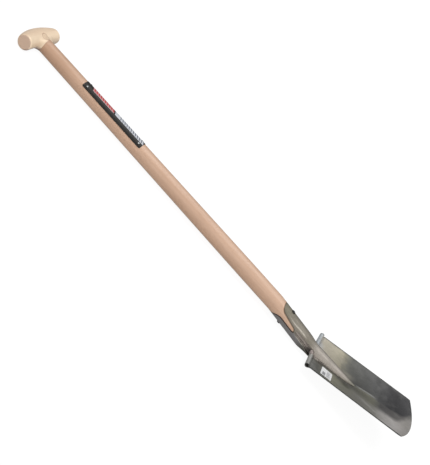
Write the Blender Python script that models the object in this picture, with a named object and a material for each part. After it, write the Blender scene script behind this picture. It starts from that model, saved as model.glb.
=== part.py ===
# A strapped garden spade with a wooden T grip, lying on its back with the hollow side up.
#
# Tool frame, in which every piece is modelled: X runs along the shaft from the middle of the
# grip to the cutting edge, Y runs across the blade, and Z points out of the hollow front side.
# The whole tool hangs on one empty, which tips it until the grip and the heel of the neck both
# lie on the ground, and puts the middle of its footprint over the origin. Units are metres.

import math

import bmesh
import bpy
from mathutils import Matrix, Vector

# Gap between pieces that touch on the real tool
CLEARANCE = 0.0003

# T grip: a turned bar across the top of the shaft
GRIP_LENGTH = 0.118
GRIP_DIAMETER = 0.0324
GRIP_CROWN = 0.009
GRIP_CROWN_POWER = 2.2
GRIP_UNDERSIDE = 0.0203
GRIP_END_DROOP = 0.0014
GRIP_EDGE_ROUND = 0.0035
HUB_LENGTH = 0.0262
HUB_FLARE = 0.0075
HUB_WAIST = 0.0024
HUB_SPREAD = 0.8

# Joint between grip and shaft
SADDLE_START = 0.0222
SADDLE_DEPTH = 0.0030
TENON_DIAMETER = 0.022
TENON_REACH = 0.006
PIN_STATION = 0.0125
PIN_DIAMETER = 0.0105

# Where the neck starts, from the middle of the grip; everything below follows it
NECK_START = 0.725

# Wooden shaft: thin at the grip, full above the neck, with the straps let in flush
SHAFT_TOP_DIAMETER = 0.0318
FULL_ABOVE_NECK = 0.095
SHAFT_FULL_STATION = NECK_START - FULL_ABOVE_NECK
SHAFT_FOOT_DIAMETER = 0.022
SHAFT_FOOT_TAPER = 0.032
SHAFT_IN_NECK = 0.105
SHAFT_END_STATION = NECK_START + SHAFT_IN_NECK

# Neck: two forged straps around the foot of the shaft, cranked back from the shaft's line
NECK_CRANK = math.radians(5.0)
NECK_DIAMETER = 0.0386
NECK_LOW_DIAMETER = 0.0352
NECK_NARROWING = 0.036
STRAP_THICKNESS = 0.0018
STRAP_TIP_THICKNESS = 0.0009
STRAP_TIP_LENGTH = 0.020
FRONT_TIP_BELOW_NECK = 0.0165
BACK_TIP_BELOW_NECK = 0.0080
STRAPS_CLOSE_BELOW_NECK = 0.0690
FRONT_TIP_STATION = NECK_START + FRONT_TIP_BELOW_NECK
BACK_TIP_STATION = NECK_START + BACK_TIP_BELOW_NECK
STRAP_CLOSING_STATION = NECK_START + STRAPS_CLOSE_BELOW_NECK
FRONT_SHOULDER_LENGTH = 0.012
FRONT_SHOULDER_ANGLE = math.radians(52.0)
FRONT_SIDE_ANGLE = math.radians(69.0)
BACK_SHOULDER_LENGTH = 0.0245
BACK_SHOULDER_ANGLE = math.radians(82.0)
BACK_SIDE_ANGLE = math.radians(83.0)
STRAP_TIP_ANGLE = math.radians(6.0)
HEEL_RISE = 0.0060

# Tongue of wood that shows between the straps' edges, rounded at its lower end
TONGUE_ROUND_LENGTH = 0.0094
TONGUE_EDGE_ANGLE = math.radians(0.8)

# One rivet through straps and shaft
RIVET_BELOW_NECK = 0.038
RIVET_STATION = NECK_START + RIVET_BELOW_NECK
RIVET_DIAMETER = 0.006
RIVET_HEAD_DIAMETER = 0.009
RIVET_HEAD_HEIGHT = 0.0022

# Blade: a dished plate, lifted towards the front from the neck
NECK_LENGTH = 0.1278
BLADE_TOP_STATION = NECK_START + NECK_LENGTH
BLADE_TOP_HEIGHT = -0.0055
BLADE_LIFT = math.radians(12.8)
BLADE_LENGTH = 0.2283
BLADE_TOP_WIDTH = 0.1438
BLADE_TIP_WIDTH = 0.1478
BLADE_TIP_BULGE = 0.0200
BLADE_THICKNESS = 0.0018
DISH_TOP = 0.0065
DISH_TIP = 0.0088
DISH_SWELL = 0.0065
TREAD_DIAMETER = 0.010
TREAD_RISE = 0.0017
TREAD_RUN_IN = 0.014
TREAD_WRAP = math.radians(300.0)

# Tapering tails of the straps on the blade
FRONT_TAIL_LENGTH = 0.1085
BACK_TAIL_LENGTH = 0.060
TAIL_TIP_WIDTH = 0.0044
TAIL_TIP_HEIGHT = 0.0012
TAIL_POWER = 0.65

# Each strap: tip station, shoulder length and angle, angle beside the tongue, length of its tail
FRONT_STRAP = (FRONT_TIP_STATION, FRONT_SHOULDER_LENGTH, FRONT_SHOULDER_ANGLE, FRONT_SIDE_ANGLE,
               FRONT_TAIL_LENGTH)
BACK_STRAP = (BACK_TIP_STATION, BACK_SHOULDER_LENGTH, BACK_SHOULDER_ANGLE, BACK_SIDE_ANGLE,
              BACK_TAIL_LENGTH)

# Name strip on the front of the shaft, held by a pin at each corner
LABEL_START = 0.136
LABEL_LENGTH = 0.172
LABEL_HALF_ANGLE = math.radians(57.0)
LABEL_THICKNESS = 0.0006
LABEL_PIN_INSET = 0.009
LABEL_PIN_ANGLE = math.radians(34.0)
LABEL_PIN_DIAMETER = 0.0016
LABEL_PIN_HEAD_DIAMETER = 0.0040
LABEL_PIN_HEAD_HEIGHT = 0.0007
LABEL_PIN_LENGTH = 0.008

# Paper sticker on the near wing of the blade
STICKER_START = 0.031
STICKER_LENGTH = 0.026
STICKER_WIDTH = 0.0385
STICKER_FROM_EDGE = 0.0103
STICKER_THICKNESS = 0.0004

# Facets
AROUND = 36
ARC_STEPS = 14
SHOULDER_STEPS = 8
SEAT_STEPS = 6
SIDE_STEPS = 8
BORE_STEPS = 20
SMALL_PIN_STEPS = 12
WING_COLUMNS = 8
NECK_COLUMNS = 8


def smooth(value, start, end):
    """0 before start, 1 after end, with a soft slope between them."""
    share = min(max((value - start) / (end - start), 0.0), 1.0)
    return share * share * (3.0 - 2.0 * share)


def mix(first, second, share):
    return first + (second - first) * share


def steps(start, end, count):
    return [start + (end - start) * index / count for index in range(count + 1)]


# Shapes that several pieces share


def shaft_radius(x):
    """Radius where the wood shows."""
    share = (x - SADDLE_START) / (SHAFT_FULL_STATION - SADDLE_START)
    return mix(SHAFT_TOP_DIAMETER, NECK_DIAMETER, min(max(share, 0.0), 1.0)) / 2


def strap_wall(x, tip):
    return mix(STRAP_TIP_THICKNESS, STRAP_THICKNESS, smooth(x, tip, tip + STRAP_TIP_LENGTH))


def seat_radius(x, tip):
    """Radius of the wood under a strap, down to the foot inside the neck."""
    seat = NECK_DIAMETER / 2 - strap_wall(x, tip) - CLEARANCE
    return mix(seat, SHAFT_FOOT_DIAMETER / 2, smooth(x, SHAFT_END_STATION - SHAFT_FOOT_TAPER, SHAFT_END_STATION))


def neck_axis(x):
    """Height of the shaft's and the neck's axis."""
    return -math.tan(NECK_CRANK) * max(x - NECK_START, 0.0)


def neck_radius(x):
    narrow = smooth(x, BLADE_TOP_STATION - NECK_NARROWING, BLADE_TOP_STATION)
    return mix(NECK_DIAMETER, NECK_LOW_DIAMETER, narrow) / 2


def blade_half_width(along):
    return mix(BLADE_TOP_WIDTH, BLADE_TIP_WIDTH, along / BLADE_LENGTH) / 2


def tread_radius():
    return (TREAD_DIAMETER - BLADE_THICKNESS) / 2


def dish_depth(along, y):
    """How far the plate sinks below the plane of its edges, with the run-in to the treads."""
    share = min(max(along / BLADE_LENGTH, 0.0), 1.0)
    deepest = mix(DISH_TOP, DISH_TIP, share) + DISH_SWELL * math.sin(math.pi * share)
    run_in = (tread_radius() - TREAD_RISE) * (1.0 - smooth(along, 0.0, TREAD_RUN_IN))
    return deepest * (1.0 - (y / blade_half_width(along)) ** 2) + run_in


def blade_point(along, y, lift=0.0):
    """Point of the plate's middle surface, raised by lift towards the front."""
    normal = lift - dish_depth(along, y)
    x = BLADE_TOP_STATION + along * math.cos(BLADE_LIFT) - normal * math.sin(BLADE_LIFT)
    z = BLADE_TOP_HEIGHT + along * math.sin(BLADE_LIFT) + normal * math.cos(BLADE_LIFT)
    return Vector((x, y, z))


def blade_height(x, y, lift):
    """Height of the raised plate at a station along the shaft."""
    along = max((x - BLADE_TOP_STATION) / math.cos(BLADE_LIFT), 0.0)
    for _ in range(4):
        normal = lift - dish_depth(along, y)
        along = max((x - BLADE_TOP_STATION + normal * math.sin(BLADE_LIFT)) / math.cos(BLADE_LIFT), 0.0)
    return blade_point(along, y, lift).z


def strap_half_angle(x, strap):
    """Opening of a strap around the shaft: a rounded tip, a shoulder, then closed below the tongue."""
    tip, shoulder, shoulder_angle, side_angle = strap[:4]
    share = min(max((x - tip) / shoulder, 0.0), 1.0)
    rounded = shoulder_angle * math.sqrt(1.0 - (1.0 - share) ** 2)
    round_start = STRAP_CLOSING_STATION - TONGUE_ROUND_LENGTH
    widened = (side_angle - shoulder_angle) * min(max((x - tip) / (round_start - tip), 0.0), 1.0)
    closed = math.pi / 2 - CLEARANCE / NECK_DIAMETER
    past = min(max((x - round_start) / TONGUE_ROUND_LENGTH, 0.0), 1.0)
    opened = mix(rounded + widened, closed, 1.0 - math.sqrt(1.0 - past ** 2))
    return max(opened, STRAP_TIP_ANGLE)


def tongue_stations():
    """Rings that follow the tongue, with a pair where the wood drops below the straps."""
    start = STRAP_CLOSING_STATION - TONGUE_ROUND_LENGTH
    rounded = [start + TONGUE_ROUND_LENGTH * math.sin(math.radians(turn)) for turn in (0, 20, 40, 55, 68)]
    return rounded + [STRAP_CLOSING_STATION - 2 * CLEARANCE, STRAP_CLOSING_STATION - CLEARANCE,
                      STRAP_CLOSING_STATION]


def tail_half_width(x, tail_length):
    """Half width of a strap: the neck's radius, then drawn out to a point on the blade."""
    share = min(max((x - BLADE_TOP_STATION) / tail_length, 0.0), 1.0)
    return mix(TAIL_TIP_WIDTH / 2, neck_radius(x), (1.0 - share) ** TAIL_POWER)


# Mesh helpers


def make_object(name, mesh_data, material, parent):
    obj = bpy.data.objects.new(name, mesh_data)
    bpy.context.scene.collection.objects.link(obj)
    mesh_data.materials.append(material)
    mesh_data.shade_smooth()
    mesh_data.set_sharp_from_angle(angle=math.radians(35))
    obj.parent = parent
    return obj


def mesh_from(name, points, faces):
    mesh_data = bpy.data.meshes.new(name)
    mesh_data.from_pydata([tuple(point) for point in points], [], faces)
    bm = bmesh.new()
    bm.from_mesh(mesh_data)
    bmesh.ops.recalc_face_normals(bm, faces=bm.faces)
    bm.to_mesh(mesh_data)
    bm.free()
    return mesh_data


def loft(name, rings):
    """Closed solid through rings of equally many points, with flat ends."""
    count = len(rings[0])
    points = [point for ring in rings for point in ring]
    faces = []
    for row in range(len(rings) - 1):
        for column in range(count):
            after = (column + 1) % count
            faces.append((row * count + column, row * count + after,
                          (row + 1) * count + after, (row + 1) * count + column))
    faces.append(tuple(range(count)))
    faces.append(tuple((len(rings) - 1) * count + index for index in range(count)))
    return mesh_from(name, points, faces)


def around_angles(count=AROUND):
    return [2 * math.pi * index / count for index in range(count)]


def turned(name, profile, around=BORE_STEPS):
    """Solid of revolution about local Z through (radius, height) pairs, bottom to top."""
    rings = []
    for radius, height in profile:
        rings.append([(radius * math.cos(angle), radius * math.sin(angle), height)
                      for angle in around_angles(around)])
    return loft(name, rings)


def material(name, colour, roughness, metallic=0.0):
    result = bpy.data.materials.new(name)
    result.use_nodes = True
    shader = result.node_tree.nodes["Principled BSDF"]
    shader.inputs["Base Color"].default_value = (*colour, 1.0)
    shader.inputs["Roughness"].default_value = roughness
    shader.inputs["Metallic"].default_value = metallic
    result.diffuse_color = (*colour, 1.0)
    return result


def helper(name, mesh_data, parent):
    """Object that only cuts or joins another one."""
    obj = bpy.data.objects.new(name, mesh_data)
    bpy.context.scene.collection.objects.link(obj)
    obj.parent = parent
    obj.hide_render = True
    obj.display_type = "WIRE"
    return obj


def boolean(target, other, operation="DIFFERENCE"):
    modifier = target.modifiers.new(other.name, "BOOLEAN")
    modifier.operation = operation
    modifier.solver = "EXACT"
    modifier.object = other


def bore(name, radius, length, place, direction, parent):
    """Round cutter, centred on place."""
    cutter = helper(name, turned(name, [(radius, -length / 2), (radius, length / 2)]), parent)
    cutter.location = place
    cutter.rotation_mode = "QUATERNION"
    cutter.rotation_quaternion = Vector(direction).to_track_quat("Z", "Y")
    return cutter


# Grip and its joint to the shaft


def grip_section(y):
    """Middle and half depth of the bar along the shaft's direction."""
    share = abs(y) / (GRIP_LENGTH / 2)
    underside = GRIP_UNDERSIDE + GRIP_END_DROOP * share ** 2
    top = GRIP_UNDERSIDE + GRIP_END_DROOP - GRIP_DIAMETER - GRIP_CROWN * (1.0 - share ** GRIP_CROWN_POWER)
    return (top + underside) / 2, (underside - top) / 2


def grip_ring(y, shrink):
    middle, depth = grip_section(y)
    half = GRIP_DIAMETER / 2
    return [(middle + (depth - shrink) * math.cos(angle), y, (half - shrink) * math.sin(angle))
            for angle in around_angles()]


def grip_bar(name):
    flat = GRIP_LENGTH / 2 - GRIP_EDGE_ROUND
    places = [(y, 0.0) for y in steps(-flat, flat, 18)]
    for turn in (30, 60, 90):
        angle = math.radians(turn)
        y = flat + GRIP_EDGE_ROUND * math.sin(angle)
        shrink = GRIP_EDGE_ROUND * (1.0 - math.cos(angle))
        places.append((y, shrink))
        places.insert(0, (-y, shrink))
    return loft(name, [grip_ring(y, shrink) for y, shrink in places])


def hub_ring(x):
    shaft = SHAFT_TOP_DIAMETER / 2
    free = HUB_LENGTH - GRIP_UNDERSIDE
    half_width = shaft + CLEARANCE / 2 + HUB_FLARE * ((HUB_LENGTH - x) / free) ** 2
    half_width = min(half_width, GRIP_LENGTH / 2 * HUB_SPREAD)
    waist = HUB_WAIST * math.sin(math.pi * min(x / SADDLE_START, 1.0))
    half_thickness = mix(GRIP_DIAMETER / 2 - CLEARANCE, shaft, min(x / SADDLE_START, 1.0)) - waist
    return [(x, half_width * math.cos(angle), half_thickness * math.sin(angle)) for angle in around_angles()]


def hub_shape(name):
    return loft(name, [hub_ring(x) for x in steps(0.0, HUB_LENGTH, 12)])


def saddle_mesh(name, from_x, shift):
    """Block on one side of the saddle-shaped shoulder, from_x being its far face."""
    half = SHAFT_TOP_DIAMETER / 2
    reach = half * 1.25
    side = [(SADDLE_START + shift + SADDLE_DEPTH * (y / half) ** 2, y) for y in steps(-reach, reach, 16)]
    outline = side + [(from_x, reach), (from_x, -reach)]
    height = GRIP_DIAMETER
    return loft(name, [[(x, y, -height) for x, y in outline], [(x, y, height) for x, y in outline]])


def make_grip(tool, wood):
    grip = make_object("grip", grip_bar("grip"), wood, tool)
    boolean(grip, helper("grip_hub", hub_shape("grip_hub"), tool), "UNION")
    boolean(grip, helper("grip_saddle", saddle_mesh("grip_saddle", 2 * HUB_LENGTH, 0.0), tool))
    mortise_length = HUB_LENGTH + TENON_REACH + CLEARANCE
    mortise_middle = (HUB_LENGTH - TENON_REACH - CLEARANCE) / 2
    boolean(grip, bore("grip_mortise", TENON_DIAMETER / 2 + CLEARANCE, mortise_length,
                       (mortise_middle, 0, 0), (1, 0, 0), tool))
    boolean(grip, bore("grip_pin_hole", PIN_DIAMETER / 2 + CLEARANCE, 2 * GRIP_DIAMETER,
                       (PIN_STATION, 0, 0), (0, 0, 1), tool))
    return grip


def make_grip_pin(tool, wood):
    """Dowel cut flush with the grip on both faces."""
    radius = PIN_DIAMETER / 2
    pin = make_object("grip_pin", turned("grip_pin", [(radius, -GRIP_DIAMETER), (radius, GRIP_DIAMETER)]),
                      wood, tool)
    pin.location = (PIN_STATION, 0, 0)
    outside = helper("pin_outside", grip_bar("pin_outside"), tool)
    boolean(outside, helper("pin_hub", hub_shape("pin_hub"), tool), "UNION")
    boolean(pin, outside, "INTERSECT")
    return pin


# Shaft


def shaft_ring(x):
    """Cross-section of the shaft: front seat, near side, back seat and far side, from the front round."""
    gap = CLEARANCE / shaft_radius(x)
    front = strap_half_angle(x, FRONT_STRAP) + gap
    back = math.pi - strap_half_angle(x, BACK_STRAP) - gap
    wood = shaft_radius(x)
    front_seat = seat_radius(x, FRONT_TIP_STATION) if x > FRONT_TIP_STATION - 1.5 * CLEARANCE else wood
    back_seat = seat_radius(x, BACK_TIP_STATION) if x > BACK_TIP_STATION - 1.5 * CLEARANCE else wood
    if x > STRAP_CLOSING_STATION - 1.5 * CLEARANCE:
        wood = front_seat
    if back - front < 2 * TONGUE_EDGE_ANGLE:
        middle = (front + back) / 2
        front = middle - TONGUE_EDGE_ANGLE
        back = middle + TONGUE_EDGE_ANGLE
    half = [(front_seat, turn) for turn in steps(0.0, front, SEAT_STEPS)]
    half += [(wood, turn) for turn in steps(front, back, SIDE_STEPS)]
    half += [(back_seat, turn) for turn in steps(back, math.pi, SEAT_STEPS)]
    height = neck_axis(x)
    near = [(x, -radius * math.sin(turn), height + radius * math.cos(turn)) for radius, turn in half]
    far = [(x, -y, z) for x, y, z in reversed(near[1:-1])]
    return near + far


def shaft_stations():
    """Rings of the shaft, with a pair where each seat starts and where the tongue ends."""
    places = steps(SADDLE_START, SHAFT_FULL_STATION, 6) + [NECK_START]
    for strap in (FRONT_STRAP, BACK_STRAP):
        places += [strap[0] - 2 * CLEARANCE, strap[0] - CLEARANCE] + shoulder_stations(strap)
    places += tongue_stations()
    places += steps(STRAP_CLOSING_STATION, SHAFT_END_STATION, 6)
    return sorted(set(places))


def label_pin_places():
    """Station and turn about the shaft of the four pins of the strip."""
    stations = (LABEL_START + LABEL_PIN_INSET, LABEL_START + LABEL_LENGTH - LABEL_PIN_INSET)
    return [(station, side * LABEL_PIN_ANGLE) for station in stations for side in (1, -1)]


def make_shaft(tool, wood):
    shaft = make_object("shaft", loft("shaft", [shaft_ring(x) for x in shaft_stations()]), wood, tool)
    boolean(shaft, helper("shaft_saddle", saddle_mesh("shaft_saddle", -HUB_LENGTH, CLEARANCE), tool))
    tenon_foot = SADDLE_START + 2 * SADDLE_DEPTH
    tenon_length = TENON_REACH + tenon_foot
    tenon = bore("tenon_shape", TENON_DIAMETER / 2, tenon_length,
                 (tenon_foot - tenon_length / 2, 0, 0), (1, 0, 0), tool)
    boolean(shaft, tenon, "UNION")
    boolean(shaft, bore("shaft_pin_hole", PIN_DIAMETER / 2 + CLEARANCE, 2 * GRIP_DIAMETER,
                        (PIN_STATION, 0, 0), (0, 0, 1), tool))
    boolean(shaft, rivet_bore("shaft_rivet_hole", tool))
    for number, (station, turn) in enumerate(label_pin_places(), 1):
        direction = Vector((0, -math.sin(turn), math.cos(turn)))
        boolean(shaft, bore("shaft_label_hole_%d" % number, LABEL_PIN_DIAMETER / 2 + CLEARANCE,
                            2 * (LABEL_PIN_LENGTH + CLEARANCE),
                            Vector((station, 0, 0)) + direction * shaft_radius(station), direction, tool))
    return shaft


# Name strip


def arc_ring(x, axis, outer, inner, half_angle, count=ARC_STEPS):
    """Cross-section of a curved strip, open towards the back."""
    turns = steps(-half_angle, half_angle, count)
    ring = [(x, -outer * math.sin(turn), axis + outer * math.cos(turn)) for turn in turns]
    ring += [(x, -inner * math.sin(turn), axis + inner * math.cos(turn)) for turn in reversed(turns)]
    return ring


def make_label(tool, plastic):
    rings = []
    for x in steps(LABEL_START, LABEL_START + LABEL_LENGTH, 4):
        inner = shaft_radius(x) + CLEARANCE
        rings.append(arc_ring(x, 0.0, inner + LABEL_THICKNESS, inner, LABEL_HALF_ANGLE))
    label = make_object("label_strip", loft("label_strip", rings), plastic, tool)
    for number, (station, turn) in enumerate(label_pin_places(), 1):
        direction = Vector((0, -math.sin(turn), math.cos(turn)))
        boolean(label, bore("label_hole_%d" % number, LABEL_PIN_DIAMETER / 2 + CLEARANCE, LABEL_PIN_LENGTH,
                            Vector((station, 0, 0)) + direction * shaft_radius(station), direction, tool))
    return label


def make_label_pins(tool, steel):
    radius = LABEL_PIN_DIAMETER / 2
    head = LABEL_PIN_HEAD_DIAMETER / 2
    top = LABEL_PIN_HEAD_HEIGHT
    grip_depth = LABEL_PIN_LENGTH - LABEL_THICKNESS - 2 * CLEARANCE
    profile = [(radius * 0.3, -LABEL_PIN_LENGTH), (radius, radius - LABEL_PIN_LENGTH), (radius, 0.0),
               (head, 0.0), (head * 0.9, top * 0.5), (head * 0.5, top)]
    for number, (station, turn) in enumerate(label_pin_places(), 1):
        name = "label_pin_%d" % number
        pin = make_object(name, turned(name, profile, SMALL_PIN_STEPS), steel, tool)
        direction = Vector((0, -math.sin(turn), math.cos(turn)))
        seat = shaft_radius(station) + LABEL_PIN_LENGTH - grip_depth
        pin.location = Vector((station, 0, 0)) + direction * seat
        pin.rotation_mode = "QUATERNION"
        pin.rotation_quaternion = direction.to_track_quat("Z", "Y")


# Straps and rivet


def shoulder_stations(strap):
    return [strap[0] + strap[1] * (index / SHOULDER_STEPS) ** 2 for index in range(SHOULDER_STEPS + 1)]


def strap_stations(strap):
    tail_end = BLADE_TOP_STATION + strap[4]
    neck_end = BLADE_TOP_STATION - NECK_NARROWING
    heel = steps(neck_end, BLADE_TOP_STATION, 6)
    run_in_end = BLADE_TOP_STATION + TREAD_RUN_IN
    run_in = steps(BLADE_TOP_STATION, run_in_end, 4)[1:]
    tail = steps(run_in_end, tail_end, 6)[1:]
    return shoulder_stations(strap) + tongue_stations() + heel + run_in + tail


def strap_foot(x, half_width, side):
    """Height of the strap's edges: the neck's seam, then the plate's front or back face."""
    lift = side * (BLADE_THICKNESS / 2 + CLEARANCE)
    on_blade = blade_height(x, half_width, lift)
    seam = neck_axis(x)
    joined = smooth(x, BLADE_TOP_STATION - 0.8 * NECK_NARROWING, BLADE_TOP_STATION - BLADE_THICKNESS)
    return mix(seam, on_blade, joined)


def front_spine(x):
    """Height of the front strap's outer ridge."""
    neck = neck_axis(x) + neck_radius(x)
    tail_end = BLADE_TOP_STATION + FRONT_TAIL_LENGTH
    end = blade_height(tail_end, 0.0, BLADE_THICKNESS / 2 + CLEARANCE) + TAIL_TIP_HEIGHT
    start = neck_axis(BLADE_TOP_STATION) + neck_radius(BLADE_TOP_STATION)
    share = (x - BLADE_TOP_STATION) / FRONT_TAIL_LENGTH
    return neck if share <= 0 else mix(start, end, share)


def back_spine(x):
    """Height of the back strap's outer ridge, which lifts off the ground at the heel."""
    neck = neck_axis(x) - neck_radius(x) + HEEL_RISE * smooth(x, BLADE_TOP_STATION - NECK_NARROWING,
                                                            BLADE_TOP_STATION)
    tail_end = BLADE_TOP_STATION + BACK_TAIL_LENGTH
    end = blade_height(tail_end, 0.0, -BLADE_THICKNESS / 2 - CLEARANCE) - TAIL_TIP_HEIGHT
    start = neck_axis(BLADE_TOP_STATION) - neck_radius(BLADE_TOP_STATION) + HEEL_RISE
    share = (x - BLADE_TOP_STATION) / BACK_TAIL_LENGTH
    return neck if share <= 0 else mix(start, end, share)


def strap_ring(x, side, strap, spine):
    half_width = tail_half_width(x, strap[4])
    foot = strap_foot(x, half_width, side)
    height = (spine(x) - foot) * side
    wall = strap_wall(x, strap[0])
    half_angle = strap_half_angle(x, strap)
    if x >= BLADE_TOP_STATION - NECK_NARROWING:
        half_angle = mix(half_angle, math.pi / 2, smooth(x, BLADE_TOP_STATION - NECK_NARROWING,
                                                         BLADE_TOP_STATION - BLADE_THICKNESS))
    if x < BLADE_TOP_STATION - NECK_NARROWING:
        outer_width = NECK_DIAMETER / 2
        outer_height = outer_width
        inner_width = outer_width - wall
        inner_height = inner_width
    else:
        thin = min(wall, 0.35 * height, 0.35 * half_width)
        outer_width = half_width
        outer_height = height
        inner_width = half_width - thin
        inner_height = height - thin
    turns = steps(-half_angle, half_angle, ARC_STEPS)
    ring = [(x, outer_width * math.sin(turn), foot + side * outer_height * math.cos(turn)) for turn in turns]
    ring += [(x, inner_width * math.sin(turn), foot + side * inner_height * math.cos(turn))
             for turn in reversed(turns)]
    return ring


def rivet_axis():
    place = Vector((RIVET_STATION, 0, neck_axis(RIVET_STATION)))
    return place, Vector((math.sin(NECK_CRANK), 0, math.cos(NECK_CRANK)))


def rivet_bore(name, tool):
    place, direction = rivet_axis()
    return bore(name, RIVET_DIAMETER / 2 + CLEARANCE, 2 * NECK_DIAMETER, place, direction, tool)


def make_strap(name, side, strap, spine, tool, steel):
    rings = [strap_ring(x, side, strap, spine) for x in strap_stations(strap)]
    strap = make_object(name, loft(name, rings), steel, tool)
    boolean(strap, rivet_bore(name + "_rivet_hole", tool))
    return strap


def make_rivet(tool, steel):
    place, direction = rivet_axis()
    radius = RIVET_DIAMETER / 2
    head = RIVET_HEAD_DIAMETER / 2
    seat = NECK_DIAMETER / 2 + CLEARANCE
    dome = [(head, seat), (head * 0.92, seat + RIVET_HEAD_HEIGHT * 0.45),
            (head * 0.65, seat + RIVET_HEAD_HEIGHT * 0.82), (head * 0.2, seat + RIVET_HEAD_HEIGHT)]
    upper = [(radius, seat)] + dome
    lower = [(width, -height) for width, height in reversed(upper)]
    rivet = make_object("rivet", turned("rivet", lower + upper), steel, tool)
    rivet.location = place
    rivet.rotation_mode = "QUATERNION"
    rivet.rotation_quaternion = direction.to_track_quat("Z", "Y")
    return rivet


# Blade


def blade_columns(along, notch):
    """Places across the plate, with a column on each side of the neck."""
    half = blade_half_width(along)
    near = steps(-half, -notch, WING_COLUMNS)
    middle = steps(-notch, notch, NECK_COLUMNS)
    far = steps(notch, half, WING_COLUMNS)
    return near + middle[1:] + far[1:]


def blade_rows(notch):
    rows = []
    run_in = TREAD_RUN_IN / BLADE_LENGTH
    for share in steps(0.0, run_in, 4) + steps(run_in, 1.0, 15)[1:]:
        edge = blade_half_width(BLADE_LENGTH)
        row = []
        for y in blade_columns(share * BLADE_LENGTH, notch):
            bulge = BLADE_TIP_BULGE * (1.0 - (y / edge) ** 2)
            row.append(blade_point(share * (BLADE_LENGTH + bulge), y))
        rows.append(row)
    return rows


def tread_rows(notch):
    """Rolled edge on top of each wing, from the plate's own edge round towards the front."""
    radius = tread_radius()
    rows = []
    for turn in steps(0.0, TREAD_WRAP, 14)[1:]:
        row = []
        for y in blade_columns(0.0, notch):
            row.append(blade_point(0.0, y) + Matrix.Rotation(-BLADE_LIFT, 3, "Y") @ Vector(
                (-radius * math.sin(turn), 0, radius * (1.0 - math.cos(turn)))))
        rows.append(row)
    return rows


def make_blade(tool, steel):
    notch = NECK_LOW_DIAMETER / 2 + 2 * CLEARANCE + BLADE_THICKNESS / 4
    grid = list(reversed(tread_rows(notch))) + blade_rows(notch)
    tread_count = len(tread_rows(notch))
    width = len(grid[0])
    points = [point for row in grid for point in row]
    faces = []
    for row in range(len(grid) - 1):
        for column in range(width - 1):
            in_wing = column < WING_COLUMNS or column >= WING_COLUMNS + NECK_COLUMNS
            if row >= tread_count or in_wing:
                first = row * width + column
                faces.append((first, first + 1, first + width + 1, first + width))
    mesh_data = bpy.data.meshes.new("blade")
    mesh_data.from_pydata([tuple(point) for point in points], [], faces)
    bm = bmesh.new()
    bm.from_mesh(mesh_data)
    loose = [vertex for vertex in bm.verts if not vertex.link_faces]
    bmesh.ops.delete(bm, geom=loose, context="VERTS")
    bmesh.ops.recalc_face_normals(bm, faces=bm.faces)
    bm.to_mesh(mesh_data)
    bm.free()
    blade = make_object("blade", mesh_data, steel, tool)
    thickness = blade.modifiers.new("plate", "SOLIDIFY")
    thickness.thickness = BLADE_THICKNESS
    thickness.offset = 0.0
    thickness.use_even_offset = True
    return blade


def make_sticker(tool, paper):
    low = BLADE_THICKNESS / 2 + CLEARANCE
    high = low + STICKER_THICKNESS
    rings = []
    for along in steps(STICKER_START, STICKER_START + STICKER_LENGTH, 4):
        edge = -blade_half_width(along) + STICKER_FROM_EDGE
        across = steps(edge, edge + STICKER_WIDTH, 5)
        rings.append([blade_point(along, y, low) for y in across]
                     + [blade_point(along, y, high) for y in reversed(across)])
    return make_object("sticker", loft("sticker", rings), paper, tool)


# Rest on the ground


def rest_tilt():
    """Turn that brings the heel and the grip down to one level."""
    grip_middle = GRIP_UNDERSIDE + GRIP_END_DROOP - GRIP_DIAMETER / 2
    turns = []
    for x in strap_stations(BACK_STRAP):
        reach = x - grip_middle
        drop = back_spine(x)
        turns.append(-math.asin(GRIP_DIAMETER / 2 / math.hypot(reach, drop)) - math.atan2(drop, reach))
    return max(turns)


def set_on_ground(tool):
    tilt = Matrix.Rotation(-rest_tilt(), 4, "Y")
    bpy.context.view_layer.update()
    graph = bpy.context.evaluated_depsgraph_get()
    corners = []
    for obj in tool.children:
        if not obj.hide_render:
            shape = obj.evaluated_get(graph)
            corners += [tilt @ shape.matrix_world @ vertex.co for vertex in shape.data.vertices]
    low = Vector([min(corner[axis] for corner in corners) for axis in range(3)])
    high = Vector([max(corner[axis] for corner in corners) for axis in range(3)])
    middle = (low + high) / 2
    tool.matrix_world = Matrix.Translation((-middle.x, -middle.y, -low.z)) @ tilt


def main():
    for obj in list(bpy.data.objects):
        bpy.data.objects.remove(obj, do_unlink=True)
    tool = bpy.data.objects.new("tool", None)
    bpy.context.scene.collection.objects.link(tool)

    make_grip(tool, material("grip_wood", (0.76, 0.60, 0.42), 0.5))
    make_grip_pin(tool, material("pin_wood", (0.62, 0.45, 0.30), 0.5))
    make_shaft(tool, material("shaft_wood", (0.55, 0.35, 0.23), 0.5))
    make_label(tool, material("label_plastic", (0.02, 0.02, 0.02), 0.35))
    make_label_pins(tool, material("label_pin_steel", (0.6, 0.6, 0.58), 0.35, 1.0))
    make_strap("front_strap", 1, FRONT_STRAP, front_spine, tool,
               material("front_strap_steel", (0.38, 0.36, 0.31), 0.4, 1.0))
    make_strap("back_strap", -1, BACK_STRAP, back_spine, tool,
               material("back_strap_steel", (0.30, 0.28, 0.28), 0.4, 1.0))
    make_rivet(tool, material("rivet_steel", (0.10, 0.10, 0.10), 0.45, 1.0))
    make_blade(tool, material("blade_steel", (0.36, 0.36, 0.34), 0.3, 1.0))
    make_sticker(tool, material("sticker_paper", (0.85, 0.85, 0.85), 0.6))
    set_on_ground(tool)


main()
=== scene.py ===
"""Strapped garden spade with a wooden T grip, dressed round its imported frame.

Every piece is modelled in the tool's own frame: X along the shaft from the middle of the grip,
Y across the blade and Z out of the blade's hollow side. All lengths are in metres.
"""

import math
import random

import bmesh
import bpy
from bpy.props import FloatProperty, FloatVectorProperty, PointerProperty
from mathutils import Matrix, Vector


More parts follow.
